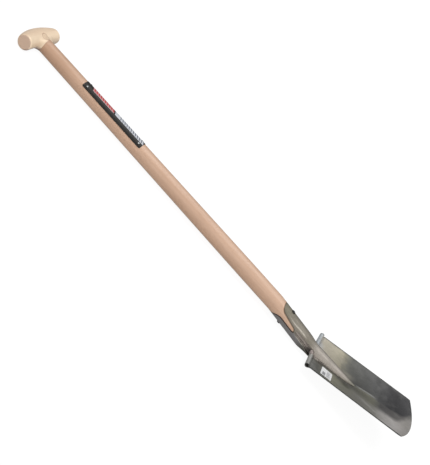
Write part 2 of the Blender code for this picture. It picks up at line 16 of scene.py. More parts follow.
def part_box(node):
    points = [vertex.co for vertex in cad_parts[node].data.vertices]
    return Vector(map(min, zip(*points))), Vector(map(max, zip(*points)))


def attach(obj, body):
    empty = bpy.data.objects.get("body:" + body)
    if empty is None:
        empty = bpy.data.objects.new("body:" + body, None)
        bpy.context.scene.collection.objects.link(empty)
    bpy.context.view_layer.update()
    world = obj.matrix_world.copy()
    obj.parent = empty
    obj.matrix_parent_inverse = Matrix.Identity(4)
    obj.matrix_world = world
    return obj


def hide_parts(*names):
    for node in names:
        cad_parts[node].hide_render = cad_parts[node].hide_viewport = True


bl_info = {
    "name": "Strapped Garden Spade",
    "version": (1, 0, 0),
    "blender": (4, 5, 0),
    "location": "View3D > Sidebar > Spade",
    "description": "Gives the packed frame of a strapped garden spade its wood, steel, strip and sticker",
    "category": "Add Mesh",
}

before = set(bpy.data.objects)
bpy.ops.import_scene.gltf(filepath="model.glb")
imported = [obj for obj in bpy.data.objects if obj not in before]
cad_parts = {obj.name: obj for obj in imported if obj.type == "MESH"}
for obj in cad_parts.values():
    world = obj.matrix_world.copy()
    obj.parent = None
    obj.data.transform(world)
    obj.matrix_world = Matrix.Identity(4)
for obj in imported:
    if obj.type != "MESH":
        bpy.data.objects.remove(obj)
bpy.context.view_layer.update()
GRIP_LOW, GRIP_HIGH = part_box("grip")


# Settings


def size(name, description, default):
    return FloatProperty(name=name, description=description, default=default, unit="LENGTH", precision=4)


def angle(name, description, degrees):
    return FloatProperty(name=name, description=description, default=math.radians(degrees), subtype="ANGLE")


def share_of(name, description, default):
    return FloatProperty(name=name, description=description, default=default, min=0.0, max=1.0,
                         subtype="FACTOR")


def number(name, description, default):
    return FloatProperty(name=name, description=description, default=default)


def colour(name, description, red, green, blue):
    return FloatVectorProperty(name=name, description=description, default=(red, green, blue), size=3,
                               min=0.0, max=1.0, subtype="COLOR")


class LayOfTool(bpy.types.PropertyGroup):
    """Where the tool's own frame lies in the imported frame."""
    origin: FloatVectorProperty(name="Origin", description="Middle of the grip on the shaft's axis",
                                default=(-0.538364, 0.0, 0.016194), size=3, subtype="TRANSLATION")
    tilt: angle("Tilt", "Turn that lets grip and heel rest on the ground", -0.78595)


class GripSizes(bpy.types.PropertyGroup):
    length: size("Length", "Length of the bar across the shaft", GRIP_HIGH.y - GRIP_LOW.y)
    thickness: size("Thickness", "Height of the bar at its middle", 0.0324)
    crown: size("Crown", "How far the bar swells away from the shaft at its middle", 0.009)
    crown_power: number("Crown power", "How sharply the crown falls off to the ends", 2.2)
    underside: size("Underside", "From the shaft's side of the bar to its axis", 0.0203)
    droop: size("Droop", "How far the underside draws in at the ends", 0.0014)
    edge_round: size("Edge round", "Rounding of the end faces' rims", 0.0035)
    hub_length: size("Hub length", "From the bar's axis to the end of the hub", 0.0262)
    hub_flare: size("Hub flare", "How far the hub spreads into the bar", 0.0075)
    hub_waist: size("Hub waist", "How far the hub stands out of the shaft", 0.0024)
    hub_spread: share_of("Hub spread", "Most that the hub may spread, as a share of half the bar", 0.8)
    saddle_start: size("Saddle", "Station where the shaft's shoulder meets the hub", 0.0222)
    saddle_depth: size("Saddle depth", "How far the shoulder is scooped", 0.0030)
    tenon_diameter: size("Tenon", "Thickness of the shaft's tenon", 0.022)
    tenon_reach: size("Tenon reach", "How far the tenon goes past the bar's axis", 0.006)
    pin_station: size("Pin station", "Where the dowel goes through the hub", 0.0125)
    pin_diameter: size("Pin", "Thickness of the dowel", 0.0105)
    blend: size("Blend", "Width of the carved fillet between bar and hub", 0.010)


class ShaftSizes(bpy.types.PropertyGroup):
    top_diameter: size("Top", "Thickness at the grip", 0.0318)
    full_above_neck: size("Full above neck", "Where the shaft reaches its full thickness", 0.095)
    foot_diameter: size("Foot", "Thickness of the end inside the neck", 0.022)
    foot_taper: size("Foot taper", "Length of the taper inside the neck", 0.032)
    in_neck: size("In neck", "Length of shaft past the start of the neck", 0.105)
    stain_width: size("Stain", "Width of the dark line along the straps", 0.0026)


class SocketSizes(bpy.types.PropertyGroup):
    start: size("Start", "Station where the neck cranks down", 0.725)
    length: size("Length", "From the crank to the top of the blade", 0.1278)
    crank: angle("Crank", "How far the neck turns down", 5.0)
    diameter: size("Diameter", "Thickness over both straps", 0.0386)
    low_diameter: size("Low diameter", "Thickness at the blade", 0.0352)
    narrowing: size("Narrowing", "Length in which the neck narrows", 0.036)
    wall: size("Wall", "Thickness of a strap", 0.0018)
    tip_wall: size("Tip wall", "Thickness of a strap at its tip", 0.0009)
    tip_length: size("Tip length", "Length in which a strap reaches its full wall", 0.020)
    front_tip: size("Front tip", "Tip of the front strap past the crank", 0.0165)
    front_shoulder: size("Front shoulder", "Length of the rounded end in front", 0.012)
    front_shoulder_angle: angle("Front shoulder turn", "Reach round the shaft behind that end", 52.0)
    front_side_angle: angle("Front side turn", "Reach round the shaft beside the tongue", 69.0)
    back_tip: size("Back tip", "Tip of the back strap past the crank", 0.0080)
    back_shoulder: size("Back shoulder", "Length of the rounded end at the back", 0.0245)
    back_shoulder_angle: angle("Back shoulder turn", "Reach round the shaft behind that end", 82.0)
    back_side_angle: angle("Back side turn", "Reach round the shaft beside the tongue", 83.0)
    tip_angle: angle("Tip turn", "Half width of a strap's very end", 3.0)
    close: size("Close", "Where the straps meet past the crank", 0.0690)
    tongue_round: size("Tongue round", "Length of the tongue's rounded end", 0.0094)
    heel_rise: size("Heel rise", "How far the heel lifts off the ground at the blade", 0.0060)
    gap: size("Gap", "Gap between pieces that touch", 0.0003)
    front_tail: size("Front tail", "Length of the front strap on the blade", 0.1085)
    back_tail: size("Back tail", "Length of the back strap on the blade", 0.060)
    tail_tip_width: size("Tail tip", "Width of a tail's point", 0.0044)
    tail_tip_height: size("Tail tip height", "Height of a tail's point", 0.0012)
    tail_power: number("Tail power", "How fast a tail draws in", 0.65)
    ridge_turn_top: angle("Ridge turn at top", "Turn of the forged ridge on the front strap", 55.0)
    ridge_turn: angle("Ridge turn", "Turn of that ridge where it meets the blade", 46.0)
    ridge_height: size("Ridge height", "How far that ridge stands out", 0.0007)
    seam_depth: size("Seam depth", "Depth of the welded valley between the straps", 0.0015)
    hollow_depth: size("Hollow depth", "Depth of the hollow above each tread", 0.0034)
    rim_width: size("Rim width", "Width of the dark rim along the wood", 0.0022)
    weld_width: size("Weld width", "Thickness of the weld beads", 0.0016)
    weld_root: size("Weld root", "Width of the weld beads beside the treads", 0.0082)
    weld_flat: share_of("Weld flat", "Height of a weld bead for its width", 0.6)
    lump_size: size("Corner weld", "Size of the lumps of weld at the treads' inner ends", 0.0060)
    rivet_station: size("Rivet", "Where the rivet sits past the crank", 0.038)
    rivet_diameter: size("Rivet shank", "Thickness of the rivet", 0.006)
    rivet_head: size("Rivet head", "Width of the rivet's heads", 0.009)
    rivet_height: size("Rivet height", "Height of the rivet's front head", 0.0022)
    rivet_tail: number("Rivet tail", "Height of its back head, in front heads", 1.6)


class BladeSizes(bpy.types.PropertyGroup):
    top_height: size("Top height", "Height of the plate's top edge over the shaft's axis", -0.0055)
    lift: angle("Lift", "How far the blade turns up from the shaft", 12.8)
    length: size("Length", "From the treads to the corners", 0.2283)
    top_width: size("Top width", "Width at the treads", 0.1438)
    tip_width: size("Tip width", "Width at the corners", 0.1478)
    tip_bulge: size("Tip bulge", "How far the cutting edge rounds out", 0.0200)
    thickness: size("Thickness", "Thickness of the plate", 0.0018)
    edge_taper: size("Edge taper", "Length of the sharpened edge", 0.008)
    edge_thickness: share_of("Edge thickness", "Share of the thickness left at the edge", 0.35)
    dish_top: size("Dish at top", "Depth of the dish at the treads", 0.0065)
    dish_tip: size("Dish at tip", "Depth of the dish at the corners", 0.0088)
    dish_swell: size("Dish swell", "Extra depth half way down", 0.0065)
    tread_diameter: size("Tread", "Thickness of the rolled treads", 0.010)
    tread_rise: size("Tread rise", "How far the treads stand over the plate", 0.0006)
    tread_run: size("Tread run", "Length in which the plate runs up to the treads", 0.009)
    tread_wrap: angle("Tread wrap", "How far round the treads are rolled", 300.0)
    crest_height: size("Crest", "Height of the soft crest below the front strap", 0.0011)
    crest_width: size("Crest width", "How far that crest spreads to the far side", 0.005)
    crest_shift: size("Crest shift", "How far it wanders to the far side", 0.008)
    crest_end: size("Crest end", "Where that crest fades out", 0.166)


class StripSizes(bpy.types.PropertyGroup):
    start: size("Start", "Station of the strip's upper end", 0.136)
    length: size("Length", "Length of the strip", 0.172)
    half_angle: angle("Half turn", "Reach of the strip round the shaft", 57.0)
    thickness: size("Thickness", "Thickness of the strip", 0.0006)
    corner: size("Corner", "Rounding of the strip's corners", 0.0014)
    pin_inset: size("Pin inset", "From the strip's ends to its pins", 0.009)
    pin_angle: angle("Pin turn", "Turn of the pins round the shaft", 34.0)
    pin_diameter: size("Pin", "Thickness of the pins", 0.0016)
    head_diameter: size("Head", "Width of the pins' heads", 0.0040)
    head_height: size("Head height", "Height of the pins' heads", 0.0007)
    pin_length: size("Pin length", "Length of the pins", 0.008)
    red_start: size("Red start", "Upper end of the red band", 0.155)
    red_end: size("Red end", "Lower end of the red band", 0.217)
    silver_start: size("Silver start", "Upper end of the silver band", 0.2206)
    silver_end: size("Silver end", "Lower end of the silver band", 0.305)
    band_half_width: size("Band", "Half width of the printed bands", 0.0066)
    hatch_pitch: size("Hatch", "Spacing of the plain slanted bars", 0.0062)


class StickerSizes(bpy.types.PropertyGroup):
    start: size("Start", "From the treads to the sticker", 0.031)
    length: size("Length", "Length along the blade", 0.026)
    width: size("Width", "Width across the blade", 0.0385)
    from_edge: size("From edge", "From the blade's near edge", 0.0103)
    thickness: size("Thickness", "Thickness of the paper", 0.0004)
    corner: size("Corner", "Rounding of the corners", 0.0025)


class FinishColours(bpy.types.PropertyGroup):
    grip_wood: colour("Grip wood", "Varnished wood of the grip", 0.85, 0.65, 0.465)
    grip_dark: colour("Grip grain", "Darker grain of the grip", 0.66, 0.47, 0.31)
    # Painted light: the bar's side towards the shaft is painted paler, as if more light fell on it.
    grip_light: colour("Grip light", "Paler wood on the shaft's side of the bar", 1.0, 0.83, 0.61)
    grip_end: colour("Grip end", "End grain of the grip", 0.70, 0.50, 0.37)
    # Painted shadow under the hub, on the near side.
    grip_shadow: colour("Grip shadow", "Handled, darker wood below the hub", 0.30, 0.20, 0.165)
    shaft_wood: colour("Shaft wood", "Varnished wood of the shaft", 0.64, 0.425, 0.30)
    shaft_dark: colour("Shaft grain", "Darker grain of the shaft", 0.48, 0.29, 0.185)
    stain_front: colour("Front stain", "Stain of the wood along the front strap", 0.21, 0.13, 0.07)
    stain_back: colour("Back stain", "Stain of the wood along the back strap", 0.045, 0.02, 0.018)
    pin_wood: colour("Dowel wood", "End grain of the dowel", 0.80, 0.61, 0.43)
    strip_black: colour("Strip", "Black of the plate strip", 0.012, 0.011, 0.009)
    strip_red: colour("Red band", "Red band on the strip", 0.50, 0.07, 0.07)
    strip_silver: colour("Silver band", "Silver band on the strip", 0.56, 0.58, 0.62)
    front_steel: colour("Front strap", "Ground steel of the front strap", 0.232, 0.210, 0.172)
    tip_steel: colour("Front tip", "Olive steel at the front strap's upper end", 0.215, 0.195, 0.142)
    tail_steel: colour("Front tail", "Ground steel of the front strap's tail", 0.38, 0.345, 0.305)
    point_steel: colour("Tail point", "Olive steel at the point of that tail", 0.23, 0.217, 0.18)
    back_steel: colour("Back strap", "Darker steel of the back strap", 0.26, 0.25, 0.25)
    heel_steel: colour("Heel", "Dark olive steel of the back strap from the heel on", 0.14, 0.135, 0.115)
    # Painted highlight along the forged ridge of the front strap and the lip of the back one.
    ridge_steel: colour("Ridge", "Worn steel on the forged ridge", 0.50, 0.463, 0.40)
    valley_steel: colour("Valley", "Brownish steel in the welded valley", 0.26, 0.225, 0.198)
    # Painted shade in the hollow above the treads and in patches deep in the welded valley; also the dark
    # tone of the tail welds' blotches.
    hollow_steel: colour("Hollow", "Blackened steel in the hollow above the treads", 0.03, 0.026, 0.024)
    # Dark rim of the straps along the wood, and painted shade along each strap's far side.
    strap_rim: colour("Strap rims", "Dark edge of the straps along the wood", 0.10, 0.085, 0.07)
    weld_steel: colour("Welds", "Dull steel of the welds", 0.11, 0.095, 0.085)
    lump_steel: colour("Corner welds", "Bright, pinkish steel of the corner welds", 0.44, 0.38, 0.36)
    rivet_steel: colour("Rivet", "Dark steel of the rivet", 0.045, 0.044, 0.042)
    # Dark steel of the cut edge and of the tread's pits, also painted shade in a band along the blade's side
    # edges.
    edge_steel: colour("Cut edge", "Dark steel of the plate's cut edge", 0.07, 0.07, 0.065)
    pin_steel: colour("Strip pins", "Dull steel of the strip's pins", 0.50, 0.52, 0.52)
    paper: colour("Paper", "White of the sticker", 0.78, 0.78, 0.78)
    paper_grey: colour("Paper blocks", "Grey blocks printed on the sticker", 0.28, 0.28, 0.29)
    floor: colour("Floor", "Paint of the plain pale floor", 0.12, 0.12, 0.12)
    floor_glow: colour("Floor glow", "Light of the light table as the camera sees it", 0.93, 0.93, 0.93)
    floor_bounce: colour("Floor bounce", "Light that the table throws on the tool", 0.32, 0.32, 0.32)
    front_fill: colour("Front fill", "Soft light from the camera's side", 0.98, 0.96, 0.94)


class StageSettings(bpy.types.PropertyGroup):
    azimuth: angle("Azimuth", "Side that the camera stands on", -1.42)
    elevation: angle("Elevation", "Height of the camera over the horizon", 26.38)
    roll: angle("Roll", "Turn of the camera about its own axis", 49.44)
    place: FloatVectorProperty(name="Place", description="Where the camera stands",
                               default=(-0.04059, -1.57339, 0.80802), size=3, subtype="TRANSLATION")
    lens: number("Lens", "Focal length for a film 36 mm high, in millimetres", 66.58)
    floor_size: size("Floor size", "Side of the square floor", 60.0)
    sun_strength: number("Sun", "Strength of the large soft light overhead", 1.4)
    sun_spread: angle("Sun spread", "Apparent size of that light", 50.0)
    sky_strength: number("Sky", "Strength of the studio's own light", 1.0)
    fill_strength: number("Fill", "Extra strength of the light from the camera's side", 0.75)


class SpadeSettings(bpy.types.PropertyGroup):
    lay: PointerProperty(type=LayOfTool, name="Lay")
    grip: PointerProperty(type=GripSizes, name="Grip")
    shaft: PointerProperty(type=ShaftSizes, name="Shaft")
    socket: PointerProperty(type=SocketSizes, name="Socket")
    blade: PointerProperty(type=BladeSizes, name="Blade")
    strip: PointerProperty(type=StripSizes, name="Strip")
    sticker: PointerProperty(type=StickerSizes, name="Sticker")
    colours: PointerProperty(type=FinishColours, name="Colours")
    stage: PointerProperty(type=StageSettings, name="Stage")


def settings():
    return bpy.context.scene.spade


# Small sums


def clamp(value):
    return min(max(value, 0.0), 1.0)


def smooth(value, start, end):
    share = clamp((value - start) / (end - start))
    return share * share * (3.0 - 2.0 * share)


def mix(first, second, share):
    return first + (second - first) * share


def stretch(value, low, low_full, high_full, high):
    """Rises from low to low_full and falls again from high_full to high."""
    return smooth(value, low, low_full) * (1.0 - smooth(value, high_full, high))


def steps(start, end, count):
    return [mix(start, end, index / count) for index in range(count + 1)]


def around_angles(count=96):
    return [2 * math.pi * index / count for index in range(count)]


def corner_inset(corner, distance):
    """How far a rounded corner draws an edge in, at a distance from the end."""
    short = max(corner - distance, 0.0)
    return corner - math.sqrt(max(corner ** 2 - short ** 2, 0.0))


# Places in the tool's frame


def tool_frame():
    lay = settings().lay
    return Matrix.Translation(lay.origin) @ Matrix.Rotation(lay.tilt, 4, "Y")


def blade_frame():
    """X down the blade from its treads, Z out of its hollow side."""
    blade = settings().blade
    return (tool_frame() @ Matrix.Translation((blade_top(), 0.0, blade.top_height))
            @ Matrix.Rotation(-blade.lift, 4, "Y"))


def blade_top():
    socket = settings().socket
    return socket.start + socket.length


def shaft_radius(x):
    """Radius where the wood shows."""
    spade = settings()
    full = spade.socket.start - spade.shaft.full_above_neck
    share = clamp((x - spade.grip.saddle_start) / (full - spade.grip.saddle_start))
    return mix(spade.shaft.top_diameter, spade.socket.diameter, share) / 2


def strap_wall(x, tip):
    socket = settings().socket
    return mix(socket.tip_wall, socket.wall, smooth(x, tip, tip + socket.tip_length))


def seat_radius(x, tip):
    """Radius of the wood under a strap, down to the foot inside the neck."""
    spade = settings()
    end = spade.socket.start + spade.shaft.in_neck
    seat = spade.socket.diameter / 2 - strap_wall(x, tip) - spade.socket.gap
    return mix(seat, spade.shaft.foot_diameter / 2, smooth(x, end - spade.shaft.foot_taper, end))


def neck_axis(x):
    """Height of the shaft's and the neck's axis."""
    socket = settings().socket
    return -math.tan(socket.crank) * max(x - socket.start, 0.0)


def neck_radius(x):
    socket = settings().socket
    narrow = smooth(x, blade_top() - socket.narrowing, blade_top())
    return mix(socket.diameter, socket.low_diameter, narrow) / 2


def blade_half_width(along):
    blade = settings().blade
    return mix(blade.top_width, blade.tip_width, along / blade.length) / 2


def tread_radius():
    blade = settings().blade
    return (blade.tread_diameter - blade.thickness) / 2


def dish_depth(along, y):
    """How far the plate sinks below the plane of its edges, with the run-in to the treads."""
    blade = settings().blade
    share = clamp(along / blade.length)
    deepest = mix(blade.dish_top, blade.dish_tip, share) + blade.dish_swell * math.sin(math.pi * share)
    run_in = (tread_radius() - blade.tread_rise) * (1.0 - smooth(along, 0.0, blade.tread_run))
    return deepest * (1.0 - (y / blade_half_width(along)) ** 2) + run_in


def crest(along, y):
    """Soft ridge that runs on below the point of the front strap."""
    blade = settings().blade
    tail = settings().socket.front_tail
    rise = stretch(along, 0.7 * tail, tail, tail + 0.025, blade.crest_end)
    middle = mix(0.002, blade.crest_shift, smooth(along, 0.9 * tail, blade.crest_end))
    width = blade.crest_width * (1.0 if y > middle else 0.5)
    return blade.crest_height * rise * math.exp(-abs(y - middle) / width)


def plate_height(along, y, lift=0.0):
    """Height of the plate in its own frame, raised by lift towards the front."""
    return lift - dish_depth(along, y) + crest(along, y)


def blade_height(x, y, lift):
    """Height of the raised plate at a station along the shaft."""
    blade = settings().blade
    sine, cosine = math.sin(blade.lift), math.cos(blade.lift)
    along = max((x - blade_top()) / cosine, 0.0)
    for _ in range(4):
        normal = plate_height(along, y, lift)
        along = max((x - blade_top() + normal * sine) / cosine, 0.0)
    return blade.top_height + along * sine + plate_height(along, y, lift) * cosine


# Mesh helpers


def new_object(name, data):
    obj = bpy.data.objects.new(name, data)
    bpy.context.scene.collection.objects.link(obj)
    return obj


def mesh_from(name, points, faces, sharp_angle=35.0):
    mesh = bpy.data.meshes.new(name)
    mesh.from_pydata([tuple(point) for point in points], [], faces)
    bm = bmesh.new()
    bm.from_mesh(mesh)
    loose = [vertex for vertex in bm.verts if not vertex.link_faces]
    bmesh.ops.delete(bm, geom=loose, context="VERTS")
    bmesh.ops.recalc_face_normals(bm, faces=bm.faces)
    bm.to_mesh(mesh)
    bm.free()
    mesh.shade_smooth()
    mesh.set_sharp_from_angle(angle=math.radians(sharp_angle))
    return mesh


def loft(name, rings, sharp_angle=35.0):
    """Closed skin over rings of equal length, capped at both ends."""
    width = len(rings[0])
    points = [point for ring in rings for point in ring]
    faces = []
    for row in range(len(rings) - 1):
        for column in range(width):
            after = (column + 1) % width
            first, second = row * width, (row + 1) * width
            faces.append((first + column, first + after, second + after, second + column))
    faces.append(tuple(reversed(range(width))))
    last = (len(rings) - 1) * width
    faces.append(tuple(range(last, last + width)))
    return mesh_from(name, points, faces, sharp_angle)


def turned(name, profile, around):
    """Solid of revolution about Z from (radius, height) pairs."""
    rings = [[(radius * math.cos(turn), radius * math.sin(turn), height) for turn in around_angles(around)]
             for radius, height in profile]
    return loft(name, rings)


def apply_modifiers(obj):
    """Keeps the evaluated shape as the object's own mesh."""
    bpy.context.view_layer.update()
    evaluated = obj.evaluated_get(bpy.context.evaluated_depsgraph_get())
    mesh = bpy.data.meshes.new_from_object(evaluated)
    obj.modifiers.clear()
    old = obj.data
    obj.data = mesh
    bpy.data.meshes.remove(old)


def cut(obj, tool_mesh, operation="DIFFERENCE"):
    """Boolean with a mesh that lies in the same frame as the object."""
    tool = new_object("cutter", tool_mesh)
    boolean = obj.modifiers.new("boolean", "BOOLEAN")
    boolean.operation = operation
    boolean.object = tool
    boolean.solver = "EXACT"
    apply_modifiers(obj)
    bpy.data.objects.remove(tool)


def moved(mesh, place):
    mesh.transform(place)
    return mesh


def bevel_rims(obj, width, degrees):
    rim = obj.modifiers.new("rim", "BEVEL")
    rim.width = width
    rim.segments = 2
    rim.limit_method = "ANGLE"
    rim.angle_limit = math.radians(degrees)


def soften(obj):
    rounding = obj.modifiers.new("soften", "SUBSURF")
    rounding.levels = 1
    rounding.render_levels = 1


def standing(point, direction):
    """Place at a point whose Z runs along a direction."""
    return Matrix.Translation(point) @ direction.to_track_quat("Z", "Y").to_matrix().to_4x4()


def finished(obj, lay, material, slot, *nodes):
    """Lays a piece in place, gives it its finish and lets it stand for its CAD nodes."""
    obj.data.transform(lay)
    obj.data.materials.clear()
    obj.data.materials.append(material)
    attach(obj, "root")
    if nodes:
        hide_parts(*nodes)


# Node helpers


# Sockets of the colour mix node
MIX_FACTOR, MIX_FIRST, MIX_SECOND, MIX_RESULT = 0, 6, 7, 2


class Wire:
    """Output of a shader node. Sums, masks and paints made from it add the nodes they need."""

    def __init__(self, tree, socket):
        self.tree = tree
        self.socket = socket

    def combined(self, operation, *values):
        return wire(self.tree, "ShaderNodeMath", "Value", dict(enumerate(values)), operation=operation)

    def __add__(self, other):
        return self.combined("ADD", self, other)

    def __sub__(self, other):
        return self.combined("SUBTRACT", self, other)

    def __rsub__(self, other):
        return self.combined("SUBTRACT", other, self)

    def __mul__(self, other):
        return self.combined("MULTIPLY", self, other)

    def __truediv__(self, other):
        return self.combined("DIVIDE", self, other)

    def __abs__(self):
        return self.combined("ABSOLUTE", self)

    __rmul__ = __mul__

    def sine(self):
        return self.combined("SINE", self)

    def highest(self, other):
        return self.combined("MAXIMUM", self, other)

    def axis(self, name):
        return wire(self.tree, "ShaderNodeSeparateXYZ", name, {"Vector": self})

    def stretched(self, x, z=1.0):
        """Coordinates on which a texture runs long where the scale is small."""
        return wire(self.tree, "ShaderNodeMapping", "Vector", {"Vector": self, "Scale": (x, 1.0, z)})

    def noise(self, scale, detail=3.0, roughness=0.55):
        inputs = {"Vector": self, "Scale": scale, "Detail": detail, "Roughness": roughness}
        return wire(self.tree, "ShaderNodeTexNoise", "Fac", inputs)

    def rise(self, low, high, start=0.0, end=1.0):
        """Smooth change from start to end while this value goes from low to high."""
        inputs = {"Value": self, "From Min": low, "From Max": high, "To Min": start, "To Max": end}
        return wire(self.tree, "ShaderNodeMapRange", "Result", inputs, interpolation_type="SMOOTHSTEP")

    def within(self, low, high, soft):
        """Mask of the stretch between two values, with soft edges."""
        return self.rise(low - soft, low + soft) * self.rise(high - soft, high + soft, 1.0, 0.0)

    def blend(self, first, second):
        """Goes from one colour to another as this mask fills."""
        return blended(self.tree, self, first, second)

    def painted(self, mask, tone):
        """This colour, covered with a tone where the mask is full."""
        return blended(self.tree, mask, self, tone)

    def ramp(self, stops):
        """Colour ramp from (place, colour) stops."""
        made = node(self.tree, "ShaderNodeValToRGB", {"Fac": self})
        elements = made.color_ramp.elements
        while len(elements) < len(stops):
            elements.new(1.0)
        for element, (place, tone) in zip(elements, stops):
            element.position = place
            element.color = (*tone, 1.0)
        return Wire(self.tree, made.outputs["Color"])


def feed(socket, value):
    """Links a socket to a wire, or sets it to a plain value."""
    if isinstance(value, Wire):
        value.tree.links.new(value.socket, socket)
    elif socket.type == "RGBA":
        socket.default_value = (value[0], value[1], value[2], 1.0)
    else:
        socket.default_value = value


def node(tree, kind, inputs=None, **values):
    made = tree.nodes.new(kind)
    for key, value in values.items():
        setattr(made, key, value)
    for key, value in (inputs or {}).items():
        feed(made.inputs[key], value)
    return made


def wire(tree, kind, output, inputs=None, **values):
    return Wire(tree, node(tree, kind, inputs, **values).outputs[output])


def blended(tree, mask, first, second):
    inputs = {MIX_FACTOR: mask, MIX_FIRST: first, MIX_SECOND: second}
    return wire(tree, "ShaderNodeMix", MIX_RESULT, inputs, data_type="RGBA")


def mesh_mask(place, name):
    return wire(place.tree, "ShaderNodeAttribute", "Fac", attribute_name=name)


def seen_by_camera(tree):
    return wire(tree, "ShaderNodeLightPath", "Is Camera Ray")


def new_group(name, inputs):
    """Node group that turns a place and its inputs into colour, roughness and height."""
    group = bpy.data.node_groups.new(name, "ShaderNodeTree")
    group.interface.new_socket(name="Vector", in_out="INPUT", socket_type="NodeSocketVector")
    for title, default in inputs:
        kind = "NodeSocketColor" if isinstance(default, tuple) else "NodeSocketFloat"
        socket = group.interface.new_socket(name=title, in_out="INPUT", socket_type=kind)
        socket.default_value = default
    for title, kind in (("Color", "NodeSocketColor"), ("Roughness", "NodeSocketFloat"),
                        ("Height", "NodeSocketFloat")):
        group.interface.new_socket(name=title, in_out="OUTPUT", socket_type=kind)
    start = group.nodes.new("NodeGroupInput")
    wires = [Wire(group, socket) for socket in start.outputs if socket.name]
    return group, wires, group.nodes.new("NodeGroupOutput").inputs


def use_group(make_group, place, *values):
    """Outputs of a shared group at a place; the group is made once."""
    group = bpy.data.node_groups.get(make_group.__name__) or make_group()
    made = node(place.tree, "ShaderNodeGroup", node_tree=group)
    for socket, value in zip(made.inputs, (place, *values)):
        feed(socket, value)
    return {output.name: Wire(place.tree, output) for output in made.outputs}


def wood_grain():
    """Long grain along X with soft bands, fine streaks and short dark pores."""
    inputs = (("Light", (0.6, 0.4, 0.3, 1.0)), ("Dark", (0.4, 0.25, 0.15, 1.0)), ("Streaks", 0.6),
              ("Polish", 0.38))
    group, (place, light, dark, streaks, polish), end = new_group("wood_grain", inputs)
    bands = place.stretched(0.05).noise(75.0, 4.0).rise(0.36, 0.66)
    fine = place.stretched(0.025).noise(620.0).rise(0.32, 0.70)
    pores = place.stretched(0.05).noise(1500.0, 1.0).rise(0.64, 0.74)
    patches = place.stretched(0.3).noise(22.0, 2.0).rise(0.35, 0.70)
    streaked = (0.35 * fine + 0.45 * bands + 0.20 * patches) * streaks
    feed(end["Color"], streaked.blend(light, dark).painted(0.30 * pores, dark))
    feed(end["Roughness"], 0.12 * fine + polish)
    feed(end["Height"], 0.5 * fine - pores)
    return group


def worked_steel():
    """Ground steel, worn in use: grinding lines along X, cloudy blotches and small dark specks."""
    inputs = (("Steel", (0.4, 0.4, 0.4, 1.0)), ("Shadow", (0.2, 0.2, 0.2, 1.0)), ("Lines", 0.3),
              ("Blotches", 0.3), ("Polish", 0.32))
    group, (place, steel, shadow, line_share, blotches, polish), end = new_group("worked_steel", inputs)
    lines = place.stretched(0.04).noise(900.0).rise(0.30, 0.72)
    cloud = place.noise(55.0, 6.0, 0.62).rise(0.36, 0.68)
    specks = place.noise(1100.0, 1.0).rise(0.70, 0.78)
    shade = lines * line_share + cloud * blotches + 0.12 * specks
    feed(end["Color"], shade.blend(steel, shadow))
    feed(end["Roughness"], 0.12 * cloud + polish + 0.08 * lines)
    feed(end["Height"], 0.3 * lines + 0.5 * cloud - 0.3 * specks)
    return group


def new_material(name, roughness, metallic=0.0, lay=None):
    """Material with its shader's inputs and coordinates in the tool's frame or another."""
    material = bpy.data.materials.new(name)
    material.use_nodes = True
    tree = material.node_tree
    shader = tree.nodes["Principled BSDF"].inputs
    feed(shader["Roughness"], roughness)
    feed(shader["Metallic"], metallic)
    lay = lay or tool_frame()
    inputs = {"Vector": wire(tree, "ShaderNodeTexCoord", "Object"), "Location": lay.translation,
              "Rotation": lay.to_euler()}
    return material, shader, wire(tree, "ShaderNodeMapping", "Vector", inputs, vector_type="TEXTURE")


def emboss(shader, height, strength, depth):
    inputs = {"Height": height, "Strength": strength, "Distance": depth}
    feed(shader["Normal"], wire(height.tree, "ShaderNodeBump", "Normal", inputs))


def dress(shader, finish, tone, depth, strength=0.6):
    """Feeds a tone and a finish's roughness and bump to the shader."""
    feed(shader["Base Color"], tone)
    feed(shader["Roughness"], finish["Roughness"])
    emboss(shader, finish["Height"], strength, depth)


def varnish(shader, weight, roughness):
    feed(shader["Coat Weight"], weight)
    feed(shader["Coat Roughness"], roughness)


# Materials


def darker(tone, share):
    return tuple(channel * share for channel in tone)


def end_grain(spread, tone, pitch, depth, dark):
    """Growth rings across the end of a piece of wood."""
    rings = (spread * pitch).sine().rise(-1.0, 1.0, 0.0, depth)
    return rings.blend(tone, darker(tone, dark))


def grip_material():
    """Varnished wood with its grain along the bar and end grain on the two end faces, with painted light on
    the bar's side towards the shaft and painted shadow under the hub.
    """
    grip, tones = settings().grip, settings().colours
    material, shader, place = new_material("grip_wood", roughness=0.4)
    inputs = {"Vector": place, "Rotation": (0, 0, math.radians(90))}
    turned_place = wire(place.tree, "ShaderNodeMapping", "Vector", inputs)
    grain = use_group(wood_grain, turned_place, tones.grip_wood, tones.grip_dark, 0.55, 0.34)
    normal = wire(place.tree, "ShaderNodeNewGeometry", "Normal")
    on_end = abs(normal.axis("Y")).rise(0.80, 0.97)
    spread = 0.006 * place.noise(90.0) + place.axis("Z")
    rings = end_grain(spread, tones.grip_end, pitch=2400.0, depth=0.6, dark=0.70)
    tone = grain["Color"].painted(on_end, rings)
    # Painted light on the side of the bar towards the shaft.
    lit_shaft_side = place.axis("X").rise(-0.004, 0.014) * (1.0 - on_end)
    tone = tone.painted(0.5 * lit_shaft_side, tones.grip_light)
    ends = {0: place.stretched(1.0, 0.0), 1: (grip.pin_station, 0.0, 0.0)}
    from_pin = wire(place.tree, "ShaderNodeVectorMath", "Value", ends, operation="DISTANCE")
    rim = grip.pin_diameter / 2
    tone = tone.painted(0.8 * from_pin.within(1.42 * rim, 1.80 * rim, 0.0008), tones.shaft_dark)
    # Painted shadow under the hub, on the near side.
    shade_under_hub = normal.axis("Z").rise(0.05, -0.45) * place.axis("X").rise(0.008, 0.016)
    tone = tone.painted(shade_under_hub * place.axis("Y").rise(0.008, -0.004), tones.grip_shadow)
    dress(shader, grain, tone, depth=0.00012, strength=0.5)
    varnish(shader, weight=0.25, roughness=0.25)
    return material


